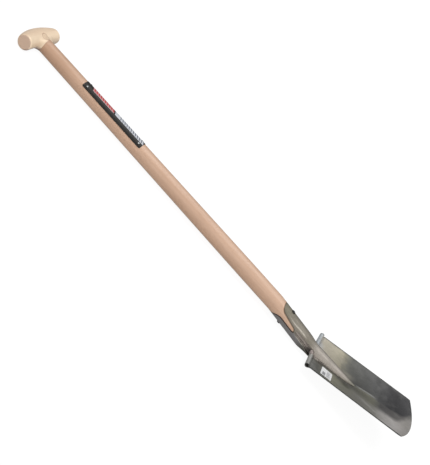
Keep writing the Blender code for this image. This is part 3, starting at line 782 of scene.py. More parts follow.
def shaft_material():
    """Pinkish varnished wood with straight grain and stains along the straps."""
    tones = settings().colours
    material, shader, place = new_material("shaft_wood", roughness=0.4)
    grain = use_group(wood_grain, place, tones.shaft_wood, tones.shaft_dark, 0.6, 0.36)
    tone = grain["Color"].painted(place.axis("X").rise(0.07, 0.16, 0.7, 0.0), tones.shaft_dark)
    for mask, stain in (("stain_front", tones.stain_front), ("stain_back", tones.stain_back)):
        ragged = 0.5 * place.noise(500.0) + mesh_mask(place, mask)
        tone = tone.painted(ragged.rise(0.45, 0.95), stain)
    dress(shader, grain, tone, depth=0.00012)
    varnish(shader, weight=0.2, roughness=0.28)
    return material


def dowel_material():
    """End grain of the dowel, with its growth rings."""
    material, shader, place = new_material("dowel_wood", roughness=0.5)
    spread = 0.003 * place.noise(180.0) + place.axis("Y")
    rings = end_grain(spread, settings().colours.pin_wood, pitch=5200.0, depth=0.5, dark=0.8)
    feed(shader["Base Color"], rings)
    return material


def strip_material():
    """Satin black with a plain red band and a plain silver band, both finely hatched."""
    strip, tones = settings().strip, settings().colours
    material, shader, place = new_material("strip_print", roughness=0.5)
    across = place.axis("Y")
    scuffs = place.stretched(0.3).noise(300.0, 5.0).rise(0.50, 0.75)
    black = (0.30 * scuffs).blend(tones.strip_black, (0.05, 0.048, 0.043))
    edge, outline, width = 0.0003, 0.0012, strip.band_half_width
    beside = across.within(-width, width, edge)
    core = across.within(outline - width, width - outline, edge)
    slant = 0.55 * across + place.axis("X")
    slats = (slant * (2.0 * math.pi / strip.hatch_pitch)).sine()
    lines = (slats.rise(0.72, 0.95) * core).highest(1.0 - core)
    bars = slats.rise(0.1, 0.5) * (1.0 - slant.within(strip.silver_start, strip.silver_start + 0.014, edge))
    red = lines.blend(tones.strip_red, (0.55, 0.42, 0.42))
    silver = (bars * core).blend(tones.strip_silver, (0.12, 0.13, 0.16))
    tone = black.painted(slant.within(strip.red_start, strip.red_end, edge) * beside, red)
    tone = tone.painted(slant.within(strip.silver_start, strip.silver_end, edge) * beside, silver)
    feed(shader["Base Color"], tone)
    feed(shader["Roughness"], scuffs.rise(0.0, 1.0, 0.42, 0.60))
    feed(shader["Specular IOR Level"], 0.3)
    return material


def finish_steel(shader, place, steel, shadow, lines, blotches, polish, depth):
    finish = use_group(worked_steel, place, steel, shadow, lines, blotches, polish)
    dress(shader, finish, finish["Color"], depth)


# Finish of the plain steels, by the name of their colour
PLAIN_STEELS = {
    "pin_steel": {"blotches": 0.3, "polish": 0.25, "depth": 0.00005},
    "weld_steel": {"blotches": 0.6, "polish": 0.45, "depth": 0.0004},
    "lump_steel": {"blotches": 0.9, "polish": 0.5, "depth": 0.0003},
    "rivet_steel": {"blotches": 0.6, "polish": 0.5, "depth": 0.0002},
    "edge_steel": {"blotches": 0.4, "polish": 0.5, "depth": 0.0001},
}


def steel_material(name, steel):
    """Plain steel in one of the named colours."""
    tone, finish = getattr(settings().colours, steel), PLAIN_STEELS[steel]
    material, shader, place = new_material(name, finish["polish"], metallic=0.6)
    finish_steel(shader, place, tone, darker(tone, 0.45), lines=0.1, **finish)
    return material


def strap_material(name, tip_tone, neck_tone, tail_tone, turning):
    """Ground steel whose ridge, valley, hollow, rim, far side and corner welds follow the mesh's masks, with
    a painted highlight on the ridge and painted shade in the hollow, deep in the valley and along the far
    side.
    """
    socket, tones = settings().socket, settings().colours
    material, shader, place = new_material(name, roughness=0.5, metallic=0.4)
    rough, down = place.noise(240.0, 4.0), place.axis("X")
    valley = 0.6 * rough + mesh_mask(place, "valley")
    hollow = 0.7 * rough + mesh_mask(place, "hollow")
    weld = 1.2 * rough + mesh_mask(place, "weld")
    point = blade_top() + socket.front_tail
    steel = down.rise(socket.start + 0.015, socket.start + 0.060).blend(tip_tone, neck_tone)
    for mask, tone in ((down.rise(turning, turning + 0.026), tail_tone),
                       (down.rise(point - 0.034, point - 0.006), tones.point_steel),
                       # Painted shade along the strap's far side.
                       (0.72 * mesh_mask(place, "shade"), tones.strap_rim),
                       # Painted highlight on the ridge.
                       (mesh_mask(place, "ridge").rise(0.15, 1.0), tones.ridge_steel),
                       (valley.rise(0.45, 1.0), tones.valley_steel),
                       # Painted shade in patches deep in the valley, and in the hollow above the treads.
                       (0.5 * rough.rise(0.50, 0.68) * valley.rise(0.6, 1.0), tones.hollow_steel),
                       (hollow.rise(0.55, 1.25, 0.0, 0.85), tones.hollow_steel),
                       (weld.rise(1.25, 1.65), tones.lump_steel),
                       (mesh_mask(place, "rim").rise(0.2, 0.9), tones.strap_rim)):
        steel = steel.painted(mask, tone)
    shadow = steel.painted(0.55, (0.02, 0.018, 0.015))
    finish_steel(shader, place, steel, shadow, lines=0.14, blotches=0.10, polish=0.44, depth=0.000015)
    return material


def tail_weld_material():
    """Dull weld along the tails, ground as bright as the front tail beside the treads."""
    tones = settings().colours
    material, shader, place = new_material("tail_weld_steel", roughness=0.5, metallic=0.5)
    down = 0.012 * place.noise(260.0, 4.0) + place.axis("X")
    steel = down.rise(blade_top() + 0.020, blade_top() + 0.032)
    steel = steel.blend(darker(tones.tail_steel, 0.72), tones.weld_steel)
    shadow = steel.painted(0.5, tones.hollow_steel)
    finish_steel(shader, place, steel, shadow, lines=0.1, blotches=0.4, polish=0.45, depth=0.0002)
    return material


# Painted reflections of the polished plate, from the treads (0) to the cutting edge (1)
FAR_WING_REFLECTIONS = ((0.02, (0.52, 0.53, 0.54)), (0.08, (0.49, 0.45, 0.365)), (0.21, (0.39, 0.357, 0.272)),
                  (0.242, (0.365, 0.333, 0.25)), (0.268, (0.24, 0.225, 0.17)), (0.30, (0.15, 0.147, 0.123)),
                  (0.34, (0.110, 0.110, 0.098)), (0.42, (0.080, 0.080, 0.073)), (0.62, (0.080, 0.080, 0.078)),
                  (0.75, (0.034, 0.033, 0.035)), (0.83, (0.027, 0.026, 0.028)), (0.90, (0.042, 0.041, 0.043)),
                  (0.95, (0.055, 0.054, 0.056)))
MIDDLE_BAND_REFLECTIONS = ((0.24, (0.10, 0.10, 0.08)), (0.42, (0.105, 0.102, 0.084)), (0.62, (0.150, 0.147, 0.105)),
                (0.70, (0.070, 0.068, 0.065)), (0.77, (0.085, 0.081, 0.079)), (0.86, (0.125, 0.118, 0.112)),
                (0.95, (0.150, 0.142, 0.134)))
NEAR_WING_REFLECTIONS = ((0.02, (0.22, 0.22, 0.205)), (0.08, (0.12, 0.12, 0.108)), (0.24, (0.255, 0.25, 0.185)),
                   (0.34, (0.215, 0.21, 0.165)), (0.50, (0.205, 0.198, 0.172)), (0.66, (0.265, 0.257, 0.225)),
                   (0.73, (0.44, 0.42, 0.395)), (0.82, (0.54, 0.515, 0.49)), (0.89, (0.45, 0.425, 0.40)),
                   (0.96, (0.35, 0.33, 0.305)))


def plate_tones(down, across, wander, reach):
    """Painted reflections: near wing, dark middle band and far wing, each with its own run of tones down the
    plate, and a painted highlight along the crest.
    """
    share = (down + wander) / reach
    slanted = (across - 0.032) * (0.2 / reach) + share
    crease = down.rise(0.4 * reach, 0.7 * reach, 0.002, 0.007)
    crease += down.rise(0.88 * reach, 1.02 * reach, 0.0, 0.035)
    past_crease = 0.25 * wander + across - crease
    past_band = 0.5 * wander + across - down.rise(0.84 * reach, reach, 0.0, 0.040)
    steel = share.ramp(NEAR_WING_REFLECTIONS).painted(past_band.rise(-0.030, -0.008), share.ramp(MIDDLE_BAND_REFLECTIONS))
    soft = down.rise(0.66 * reach, 0.9 * reach, 0.0008, 0.0060)
    steel = steel.painted(past_crease.rise(-1.0 * soft, soft), slanted.ramp(FAR_WING_REFLECTIONS))
    # Painted highlight along the soft crest.
    lit = past_crease.within(0.0006, 0.0062, 0.0014) * down.within(0.46 * reach, 0.635 * reach, 0.009)
    return steel.painted(0.8 * lit, (0.36, 0.36, 0.335))


def blade_material():
    """Polished plate with painted reflections: beige below the far tread, dark at the far tip, light at the
    near tip.
    """
    blade, tones = settings().blade, settings().colours
    material, shader, place = new_material("blade_steel", roughness=0.4, metallic=0.4, lay=blade_frame())
    down, across = place.axis("X"), place.axis("Y")
    wander = place.stretched(0.6).noise(26.0).rise(0.25, 0.75, -0.008, 0.008)
    reach = blade.length + blade.tip_bulge
    # Painted reflection: a paler patch beside the front tail.
    beside_tail = across.within(0.008, 0.025, 0.005) * down.within(0.068, 0.098, 0.012)
    # Painted shadow on the plate below the front tail's point.
    shadow_below_tail = across.within(-0.030, -0.014, 0.005) * down.within(0.080, 0.102, 0.008)
    drift = across - down.rise(0.5 * reach, 0.84 * reach, -0.030, -0.060)
    glint = drift.within(-0.004, 0.005, 0.004) * down.within(0.52 * reach, 0.78 * reach, 0.020)
    smudges = place.noise(34.0, 4.0).rise(0.48, 0.72, 0.0, 0.22)
    burnt = down.within(0.012, 0.030, 0.004) * abs(across).within(0.018, 0.026, 0.003)
    burnt *= place.noise(260.0).rise(0.42, 0.56)
    half, widening = blade.top_width / 2, (blade.tip_width - blade.top_width) / 2 / blade.length
    # Painted shade in a band along both side edges of the plate.
    edge_shade = (abs(across) - down * widening).rise(half - 0.0042, half - 0.0016)
    pits = place.noise(700.0, 2.0).rise(0.52, 0.66)
    # Painted reflections on the treads, grey on the near one and pale bluish on the far one, with dark pits.
    rolled = across.rise(-0.01, 0.01).blend((0.56, 0.56, 0.53), (0.62, 0.66, 0.68))
    rolled = rolled.painted(0.55 * pits, tones.edge_steel)
    steel = plate_tones(down, across, wander, reach)
    for mask, tone in ((0.55 * beside_tail, (0.30, 0.28, 0.225)), (0.6 * shadow_below_tail, (0.055, 0.052, 0.034)),
                       (0.55 * glint, (0.42, 0.41, 0.38)), (smudges, (0.20, 0.20, 0.19)),
                       (0.8 * burnt, (0.07, 0.055, 0.048)), (0.85 * edge_shade, tones.edge_steel),
                       (down.rise(-0.0005, 0.0025, 1.0, 0.0), rolled)):
        steel = steel.painted(mask, tone)
    shadow = steel.painted(0.55, (0.02, 0.02, 0.02))
    finish_steel(shader, place, steel, shadow, lines=0.16, blotches=0.20, polish=0.38, depth=0.00005)
    return material


def sticker_material():
    """White paper with plain grey blocks and rows."""
    sticker, tones = settings().sticker, settings().colours
    material, shader, place = new_material("sticker_paper", roughness=0.55, lay=blade_frame())
    along, across = place.axis("X"), place.axis("Y")
    start, edge = sticker.start, sticker.from_edge - blade_half_width(sticker.start)
    soft = 0.0002
    block = along.within(start + 0.004, start + 0.011, soft) * across.within(edge + 0.004, edge + 0.020, soft)
    rows = along.within(start + 0.014, start + 0.022, soft) * across.within(edge + 0.004, edge + 0.034, soft)
    marks = block.highest(rows * (along * 3100.0).sine().rise(-0.1, 0.1))
    fibres = place.noise(1600.0, 2.0)
    paper = fibres.rise(0.3, 0.8, 0.0, 0.10).blend(tones.paper, darker(tones.paper, 0.8))
    feed(shader["Base Color"], paper.painted(marks, tones.paper_grey))
    emboss(shader, fibres, strength=0.2, depth=0.00004)
    return material


# Grip


def grip_section(y):
    """Middle and half depth of the bar along the shaft's direction."""
    grip = settings().grip
    share = clamp(abs(y) / (grip.length / 2))
    underside = grip.underside + grip.droop * (share ** 2 - 1.0)
    top = grip.underside - grip.thickness - grip.crown * (1.0 - share ** grip.crown_power)
    return (top + underside) / 2 + grip.droop, (underside - top) / 2


def grip_ring(y, shrink):
    middle, depth = grip_section(y)
    half = settings().grip.thickness / 2
    return [(middle + (depth - shrink) * math.cos(turn), y, (half - shrink) * math.sin(turn))
            for turn in around_angles()]


def grip_bar():
    grip = settings().grip
    flat = grip.length / 2 - grip.edge_round
    places = [(y, 0.0) for y in steps(-flat, flat, 60)]
    for degrees in range(10, 100, 10):
        turn = math.radians(degrees)
        y = flat + grip.edge_round * math.sin(turn)
        shrink = grip.edge_round * (1.0 - math.cos(turn))
        places.append((y, shrink))
        places.insert(0, (-y, shrink))
    return loft("grip_bar", [grip_ring(y, shrink) for y, shrink in places])


def hub_ring(x):
    spade = settings()
    grip = spade.grip
    shaft = spade.shaft.top_diameter / 2
    free = grip.hub_length - grip.underside
    half_width = shaft + spade.socket.gap / 2 + grip.hub_flare * ((grip.hub_length - x) / free) ** 2
    half_width = min(half_width, grip.length / 2 * grip.hub_spread)
    waist = grip.hub_waist * math.sin(math.pi * min(x / grip.saddle_start, 1.0))
    full = grip.thickness / 2 - spade.socket.gap
    half_thickness = mix(full, shaft, min(x / grip.saddle_start, 1.0)) - waist
    return [(x, half_width * math.cos(turn), half_thickness * math.sin(turn)) for turn in around_angles()]


def hub_shape():
    return loft("grip_hub", [hub_ring(x) for x in steps(0.0, settings().grip.hub_length, 40)])


def saddle_block(from_x, shift):
    """Block on one side of the saddle-shaped shoulder, from_x being its far face."""
    grip = settings().grip
    half = settings().shaft.top_diameter / 2
    reach = half * 1.25
    side = [(grip.saddle_start + shift + grip.saddle_depth * (y / half) ** 2, y)
            for y in steps(-reach, reach, 48)]
    outline = side + [(from_x, reach), (from_x, -reach)]
    height = grip.thickness
    return loft("saddle", [[(x, y, -height) for x, y in outline], [(x, y, height) for x, y in outline]])


def upright(radius, length, x):
    """Round cutter along Z at a station of the shaft."""
    return moved(turned("upright", [(radius, -length / 2), (radius, length / 2)], 64),
                 Matrix.Translation((x, 0.0, 0.0)))


def lengthwise(radius, low, high):
    """Round cutter along the shaft's axis."""
    mesh = turned("lengthwise", [(radius, low), (radius, high)], 64)
    return moved(mesh, Matrix.Rotation(math.radians(90), 4, "Y"))


def carved_grip(name):
    """Bar and hub in one, with the junction carved to a soft fillet."""
    grip = settings().grip
    obj = new_object(name, grip_bar())
    cut(obj, hub_shape(), "UNION")
    remesh = obj.modifiers.new("remesh", "REMESH")
    remesh.mode = "VOXEL"
    remesh.voxel_size = 0.0008
    apply_modifiers(obj)
    blend = obj.vertex_groups.new(name="blend")
    full_to, ends_at, elsewhere = 0.034, 0.044, 0.12
    for vertex in obj.data.vertices:
        x, y = vertex.co.x, abs(vertex.co.y)
        near = smooth(x, -0.5 * grip.blend, grip.blend) * (1.0 - smooth(y, full_to, ends_at))
        near *= 1.0 - smooth(x, grip.underside + 0.001, grip.hub_length - 0.001)
        blend.add([vertex.index], max(near, elsewhere), "REPLACE")
    carving = obj.modifiers.new("carving", "SMOOTH")
    carving.factor = 0.8
    carving.iterations = 22
    carving.vertex_group = "blend"
    apply_modifiers(obj)
    obj.vertex_groups.clear()
    obj.data.shade_smooth()
    return obj


class SPADE_OT_grip(bpy.types.Operator):
    """Wooden T grip with its dowel"""
    bl_idname = "spade.grip"
    bl_label = "Grip"

    def execute(self, context):
        spade = settings()
        grip = spade.grip
        gap = spade.socket.gap
        obj = carved_grip("wooden_grip")
        dowel = carved_grip("wooden_dowel")
        cut(dowel, upright(grip.pin_diameter / 2, 2 * grip.thickness, grip.pin_station), "INTERSECT")
        cut(obj, saddle_block(2 * grip.hub_length, 0.0))
        cut(obj, lengthwise(grip.tenon_diameter / 2 + gap, -grip.tenon_reach - gap, grip.hub_length))
        cut(obj, upright(grip.pin_diameter / 2 + gap, 2 * grip.thickness, grip.pin_station))
        for piece in (obj, dowel):
            piece.data.set_sharp_from_angle(angle=math.radians(40))
        finished(obj, tool_frame(), grip_material(), "grip_wood", "grip")
        finished(dowel, tool_frame(), dowel_material(), "pin_wood", "grip_pin")
        return {"FINISHED"}


# Shaft


def strap_shape(label):
    """Sizes of the front or the back strap, with the side of the shaft that it lies on."""
    socket = settings().socket
    shape = {part: getattr(socket, label + "_" + part)
             for part in ("tip", "shoulder", "shoulder_angle", "side_angle", "tail")}
    shape["tip"] += socket.start
    shape["side"] = 1 if label == "front" else -1
    return shape


def closing_station():
    socket = settings().socket
    return socket.start + socket.close


def strap_half_angle(x, strap):
    """Opening of a strap around the shaft: a rounded tip, a shoulder, then closed below the tongue."""
    socket = settings().socket
    share = clamp((x - strap["tip"]) / strap["shoulder"])
    rounded = strap["shoulder_angle"] * math.sqrt(1.0 - (1.0 - share) ** 2)
    round_start = closing_station() - socket.tongue_round
    widened = strap["side_angle"] - strap["shoulder_angle"]
    widened *= clamp((x - strap["tip"]) / (round_start - strap["tip"]))
    closed = math.pi / 2 - socket.gap / socket.diameter
    past = clamp((x - round_start) / socket.tongue_round)
    opened = mix(rounded + widened, closed, 1.0 - math.sqrt(1.0 - past ** 2))
    return max(opened, socket.tip_angle)


def shoulder_stations(strap, count):
    return [strap["tip"] + strap["shoulder"] * (index / count) ** 2 for index in range(count + 1)]


def tongue_stations():
    """Rings that follow the tongue, with a pair where the wood drops below the straps."""
    socket = settings().socket
    end = closing_station()
    start = end - socket.tongue_round
    rounded = [start + socket.tongue_round * math.sin(math.radians(turn)) for turn in range(0, 72, 6)]
    return rounded + [end - 2 * socket.gap, end - socket.gap, end]


SEAT_COLUMNS = 24


def shaft_ring(x):
    """Front seat, near side, back seat and far side of the wood, from the front round."""
    spade = settings()
    gap = spade.socket.gap
    front_strap, back_strap = strap_shape("front"), strap_shape("back")
    wood = shaft_radius(x)
    front = strap_half_angle(x, front_strap) + gap / wood
    back = math.pi - strap_half_angle(x, back_strap) - gap / wood
    front_seat = seat_radius(x, front_strap["tip"]) if x > front_strap["tip"] - 1.5 * gap else wood
    back_seat = seat_radius(x, back_strap["tip"]) if x > back_strap["tip"] - 1.5 * gap else wood
    if x > closing_station() - 1.5 * gap:
        wood = front_seat
    least = math.radians(0.8)
    if back - front < 2 * least:
        middle = (front + back) / 2
        front, back = middle - least, middle + least
    stain = spade.shaft.stain_width / wood
    inset = min(stain, (back - front) / 4)
    sides = [front, front + 0.5 * inset] + steps(front + inset, back - inset, SEAT_COLUMNS)
    half = [(front_seat, turn) for turn in steps(0.0, front, SEAT_COLUMNS)]
    half += [(wood, turn) for turn in sides + [back - 0.5 * inset, back]]
    half += [(back_seat, turn) for turn in steps(back, math.pi, SEAT_COLUMNS)]
    height = neck_axis(x)
    near = [(x, -radius * math.sin(turn), height + radius * math.cos(turn)) for radius, turn in half]
    far = [(x, -y, z) for x, y, z in reversed(near[1:-1])]
    return near + far


def paint_stain(mesh, name, strap):
    """Mask of the wood that lies within the stain's width of a strap's edge."""
    socket, width = settings().socket, settings().shaft.stain_width
    outline = []
    for x in shoulder_stations(strap, 30) + steps(strap["tip"] + strap["shoulder"], closing_station(), 40):
        outline.append((x, shaft_radius(x) * strap_half_angle(x, strap)))
    marks = []
    for vertex in mesh.vertices:
        x, y, z = vertex.co
        mark = 0.0
        if strap["tip"] - 2 * width < x < closing_station() + width:
            turn = math.atan2(abs(y), strap["side"] * (z - neck_axis(x)))
            reach = shaft_radius(x) * turn
            distance = min(math.hypot(x - place, reach - edge) for place, edge in outline)
            mark = 1.0 - smooth(distance, socket.gap + 0.3 * width, socket.gap + width)
        marks.append(mark)
    mesh.attributes.new(name, "FLOAT", "POINT").data.foreach_set("value", marks)


class SPADE_OT_shaft(bpy.types.Operator):
    """Wooden shaft with its tenon, its shoulder and the tongue between the straps"""
    bl_idname = "spade.shaft"
    bl_label = "Shaft"

    def execute(self, context):
        spade = settings()
        grip, socket, shaft = spade.grip, spade.socket, spade.shaft
        full = socket.start - shaft.full_above_neck
        end = socket.start + shaft.in_neck
        places = steps(grip.saddle_start, full, 40) + steps(full, socket.start, 12)
        for strap in (strap_shape("front"), strap_shape("back")):
            places += [strap["tip"] - 2 * socket.gap, strap["tip"] - socket.gap]
            places += shoulder_stations(strap, 20)
        places += tongue_stations() + steps(closing_station(), end, 10)
        rings = [shaft_ring(x) for x in sorted(set(places))]
        obj = new_object("wooden_shaft", loft("wooden_shaft", rings))
        cut(obj, saddle_block(-grip.hub_length, socket.gap))
        foot = grip.saddle_start + 2 * grip.saddle_depth
        cut(obj, lengthwise(grip.tenon_diameter / 2, -grip.tenon_reach, foot), "UNION")
        cut(obj, upright(grip.pin_diameter / 2 + socket.gap, 2 * grip.thickness, grip.pin_station))
        obj.data.shade_smooth()
        obj.data.set_sharp_from_angle(angle=math.radians(35))
        paint_stain(obj.data, "stain_front", strap_shape("front"))
        paint_stain(obj.data, "stain_back", strap_shape("back"))
        finished(obj, tool_frame(), shaft_material(), "shaft_wood", "shaft")
        return {"FINISHED"}


# Plate strip


def arc_ring(x, outer, inner, half_angle):
    """Cross-section of a curved strip round the shaft, open towards the back."""
    turns = steps(-half_angle, half_angle, 64)
    ring = [(x, -outer * math.sin(turn), outer * math.cos(turn)) for turn in turns]
    ring += [(x, -inner * math.sin(turn), inner * math.cos(turn)) for turn in reversed(turns)]
    return ring


def strip_pin_places():
    strip = settings().strip
    stations = (strip.start + strip.pin_inset, strip.start + strip.length - strip.pin_inset)
    return [(station, side * strip.pin_angle) for station in stations for side in (1, -1)]


class SPADE_OT_strip(bpy.types.Operator):
    """Thin printed strip round the shaft, held by four domed pins"""
    bl_idname = "spade.strip"
    bl_label = "Plate strip"

    def execute(self, context):
        spade = settings()
        strip, gap = spade.strip, spade.socket.gap
        end = strip.start + strip.length
        rings = []
        for x in steps(strip.start, end, 60):
            inner = shaft_radius(x) + gap
            shortened = corner_inset(strip.corner, min(x - strip.start, end - x)) / inner
            rings.append(arc_ring(x, inner + strip.thickness, inner, strip.half_angle - shortened))
        obj = new_object("printed_strip", loft("printed_strip", rings))
        bevel_rims(obj, width=0.00015, degrees=30)
        apply_modifiers(obj)
        finished(obj, tool_frame(), strip_material(), "label_plastic", "label_strip")
        metal = steel_material("pin_steel", "pin_steel")
        for count, (station, turn) in enumerate(strip_pin_places(), 1):
            direction = Vector((0.0, -math.sin(turn), math.cos(turn)))
            seat = shaft_radius(station) + strip.thickness + 2 * gap
            place = tool_frame() @ standing(Vector((station, 0.0, 0.0)) + direction * seat, direction)
            pin = new_object("strip_pin_%d" % count, strip_pin_mesh())
            finished(pin, place, metal, "label_pin_steel", "label_pin_%d" % count)
        return {"FINISHED"}


def strip_pin_mesh():
    strip = settings().strip
    radius, head, top = strip.pin_diameter / 2, strip.head_diameter / 2, strip.head_height
    dome = [(head * math.cos(math.radians(turn)), top * math.sin(math.radians(turn))) for turn in
            (15, 30, 45, 60, 75, 86)]
    shank = [(radius * 0.3, -strip.pin_length), (radius, radius - strip.pin_length), (radius, 0.0)]
    return turned("strip_pin", shank + [(head * 0.95, 0.0), (head, top * 0.12)] + dome, 32)


# Straps, welds and rivet


def tail_half_width(x, tail):
    """Half width of a strap: the neck's radius, then drawn out to a point on the blade."""
    socket = settings().socket
    share = clamp((x - blade_top()) / tail)
    return mix(socket.tail_tip_width / 2, neck_radius(x), (1.0 - share) ** socket.tail_power)


def strap_foot(x, half_width, side):
    """Height of the strap's edges: the neck's seam, then the plate's front or back face."""
    spade = settings()
    lift = side * (spade.blade.thickness / 2 + spade.socket.gap)
    top, narrowing = blade_top(), spade.socket.narrowing
    joined = smooth(x, top - 0.8 * narrowing, top - spade.blade.thickness)
    return mix(neck_axis(x), blade_height(x, half_width, lift), joined)


def strap_spine(x, strap):
    """Height of a strap's outer ridge, which lifts off the ground at the heel."""
    spade = settings()
    side, tail, top = strap["side"], strap["tail"], blade_top()
    rise = spade.socket.heel_rise if side < 0 else 0.0
    neck = neck_axis(x) + side * neck_radius(x) + rise * smooth(x, top - spade.socket.narrowing, top)
    start = neck_axis(top) + side * neck_radius(top) + rise
    end = blade_height(top + tail, 0.0, side * (spade.blade.thickness / 2 + spade.socket.gap))
    end += side * spade.socket.tail_tip_height
    share = (x - top) / tail
    return neck if share <= 0.0 else mix(start, end, share)


def seam_dip(x, turn, strap):
    """Depth of the welded valley beside the seam, deepest in the hollow above the tread."""
    socket, degrees = settings().socket, math.degrees(turn)
    start, top = closing_station(), blade_top()
    depth = socket.seam_depth * smooth(x, start - 0.002, start + 0.012)
    depth += (socket.hollow_depth - socket.seam_depth) * smooth(x, top - 0.024, top - 0.011)
    depth *= 1.0 - smooth(x, top - 0.005, top + 0.004)
    if strap["side"] < 0:
        back_share = 0.45
        return back_share * depth * smooth(degrees, 82.0, 90.0)
    run = clamp((x - start) / (top - start))
    brink, valley, seam = mix(58.0, 50.0, run), mix(70.0, 66.0, run), mix(92.0, 90.0, run)
    filled = 0.55 * smooth(degrees, valley, seam)
    return depth * smooth(degrees, brink, valley) * (1.0 - filled)


def ridge_rise(x, turn, strap):
    """Forged ridge that runs down each side of the front strap, and the raised lip of the back one."""
    socket = settings().socket
    start = socket.start
    if strap["side"] < 0:
        along = stretch(x, start + 0.072, start + 0.080, start + 0.098, start + 0.108)
        lip_share = 0.4
        return lip_share * socket.ridge_height * along * smooth(math.degrees(turn), 80.0, 86.0)
    along = stretch(x, start + 0.028, start + 0.042, start + 0.084, start + 0.106)
    middle = mix(socket.ridge_turn_top, socket.ridge_turn, smooth(x, start + 0.040, start + 0.080))
    spread = 5.5
    return socket.ridge_height * along * math.exp(-(math.degrees(turn - middle) / spread) ** 2)


def hollow_share(x, turn, strap):
    """Share of the painted shade in the hollow above each tread."""
    top = blade_top()
    along = stretch(x, top - 0.030, top - 0.007, top - 0.003, top + 0.004)
    low, high = (52.0, 76.0) if strap["side"] > 0 else (78.0, 90.0)
    return along * smooth(math.degrees(turn), low, high)


STRAP_MASKS = ("valley", "ridge", "rim", "weld", "shade", "hollow")
STRAP_COLUMNS = 72
SEAM_COLUMN = 4


def strap_marks(x, turn, strap, edge_distance, leaning):
    """Value of each strap mask at a point, the valley's and the ridge's by their height."""
    socket, top = settings().socket, blade_top()
    rim = 0.0
    if x < closing_station() + socket.gap:
        rim = 1.0 - smooth(edge_distance, 0.0004, socket.rim_width)
    weld = stretch(x, top - 0.006, top, top + 0.010, top + 0.026)
    weld *= smooth(turn, math.radians(58.0), math.radians(84.0))
    # Painted highlight on the ridge, stronger on the back strap's lip.
    highlight_share = 1.0 if strap["side"] > 0 else 1.7
    ridge_highlight = ridge_rise(x, turn, strap) / socket.ridge_height * highlight_share
    # Painted shade along the strap's far side, which turns away from the light.
    shade = stretch(leaning, 0.0, math.radians(15.0), math.radians(45.0), math.radians(70.0))
    valley = seam_dip(x, turn, strap) / socket.seam_depth
    return valley, ridge_highlight, rim, weld, shade, hollow_share(x, turn, strap)


def strap_ring(x, strap):
    """Ring of a strap, outside then inside, with the masks of each of its points."""
    socket = settings().socket
    side, top = strap["side"], blade_top()
    half_width = tail_half_width(x, strap["tail"])
    foot = strap_foot(x, half_width, side)
    height = (strap_spine(x, strap) - foot) * side
    wall = strap_wall(x, strap["tip"])
    wall_limit, dip_in_wall = 0.35, 0.6
    half_angle = strap_half_angle(x, strap)
    if x >= top - socket.narrowing:
        widening = smooth(x, top - socket.narrowing, top - settings().blade.thickness)
        half_angle = mix(half_angle, math.pi / 2, widening)
        wall = min(wall, wall_limit * height, wall_limit * half_width)
    else:
        half_width = socket.diameter / 2
        height = half_width
    ring, inner, marks = [], [], []
    for turn in steps(-half_angle, half_angle, STRAP_COLUMNS):
        dip = seam_dip(x, abs(turn), strap)
        outward = ridge_rise(x, abs(turn), strap) - dip
        inward = -max(dip - dip_in_wall * wall, 0.0)
        sine, cosine = math.sin(turn), math.cos(turn)
        ring.append((x, (half_width + outward) * sine, foot + side * (height + outward) * cosine))
        inner.append((x, (half_width - wall + inward) * sine,
                      foot + side * (height - wall + inward) * cosine))
        edge_distance = (half_angle - abs(turn)) * half_width
        leaning = math.atan2(height * sine, half_width * cosine)
        marks.append(strap_marks(x, abs(turn), strap, edge_distance, leaning))
    return ring + inner[::-1], marks + marks[::-1]


def strap_stations(strap):
    socket = settings().socket
    top = blade_top()
    neck_end = top - socket.narrowing
    run_in_end = top + settings().blade.tread_run
    places = shoulder_stations(strap, 20) + tongue_stations()
    places += steps(closing_station(), neck_end, 10) + steps(neck_end, top, 36)
    places += steps(top, run_in_end, 12) + steps(run_in_end, top + strap["tail"], 48)
    return sorted(set(places))


def make_strap(name, strap, material, slot, cad_node):
    rings, marks = [], []
    for x in strap_stations(strap):
        ring, mark = strap_ring(x, strap)
        rings.append(ring)
        marks += mark
    mesh = loft(name, rings, 50.0)
    for index, mask in enumerate(STRAP_MASKS):
        mesh.attributes.new(mask, "FLOAT", "POINT").data.foreach_set("value", [mark[index] for mark in marks])
    obj = new_object(name, mesh)
    bevel_rims(obj, width=0.0003, degrees=60)
    finished(obj, tool_frame(), material, slot, cad_node)


def weld_bead(name, path, widths, seed, material, slot):
    """Low, uneven bead of weld along a path, from one width to another."""
    draw = random.Random(seed)
    flat = settings().socket.weld_flat
    run_out, end_share = 3.0, 0.25
    thinnest, thickest, sideways, upwards = 0.62, 1.25, 0.18, 0.10
    rings = []
    for index, point in enumerate(path):
        before, after = path[max(index - 1, 0)], path[min(index + 1, len(path) - 1)]
        turn = (after - before).to_track_quat("X", "Z").to_matrix()
        from_end = min(index, len(path) - 1 - index) / run_out
        width = mix(widths[0], widths[1], smooth(index / len(path), 0.15, 0.5))
        uneven = mix(1.0, draw.uniform(thinnest, thickest), widths[1] / width)
        radius = width / 2 * min(end_share + (1.0 - end_share) * from_end, 1.0) * uneven
        shift = (0.0, draw.uniform(-sideways, sideways), draw.uniform(-upwards, upwards))
        shift = Vector(shift) * width
        round_it = [Vector((0.0, radius * math.cos(step), radius * flat * math.sin(step)))
                    for step in around_angles(12)]
        rings.append([point + turn @ (shift + corner) for corner in round_it])
    obj = new_object(name, loft(name, rings))
    soften(obj)
    finished(obj, tool_frame(), material, slot)


def tail_path(strap, side_y):
    """Foot of a strap's tail on the blade, from the treads to its point."""
    clear = 0.0002
    lift = strap["side"] * (settings().blade.thickness / 2 + clear)
    path = []
    for x in steps(blade_top() + 0.003, blade_top() + strap["tail"] * 0.985, 60):
        y = tail_half_width(x, strap["tail"]) + clear
        path.append(Vector((x, side_y * y, blade_height(x, y, lift))))
    return path


def seam_path(side_y):
    """Bottom of the valley between the straps, from the tongue to the tread."""
    path = []
    for x in steps(closing_station() + 0.001, blade_top() - 0.006, 34):
        ring, _ = strap_ring(x, strap_shape("front"))
        path.append(Vector(ring[SEAM_COLUMN if side_y < 0 else STRAP_COLUMNS - SEAM_COLUMN]))
    return path


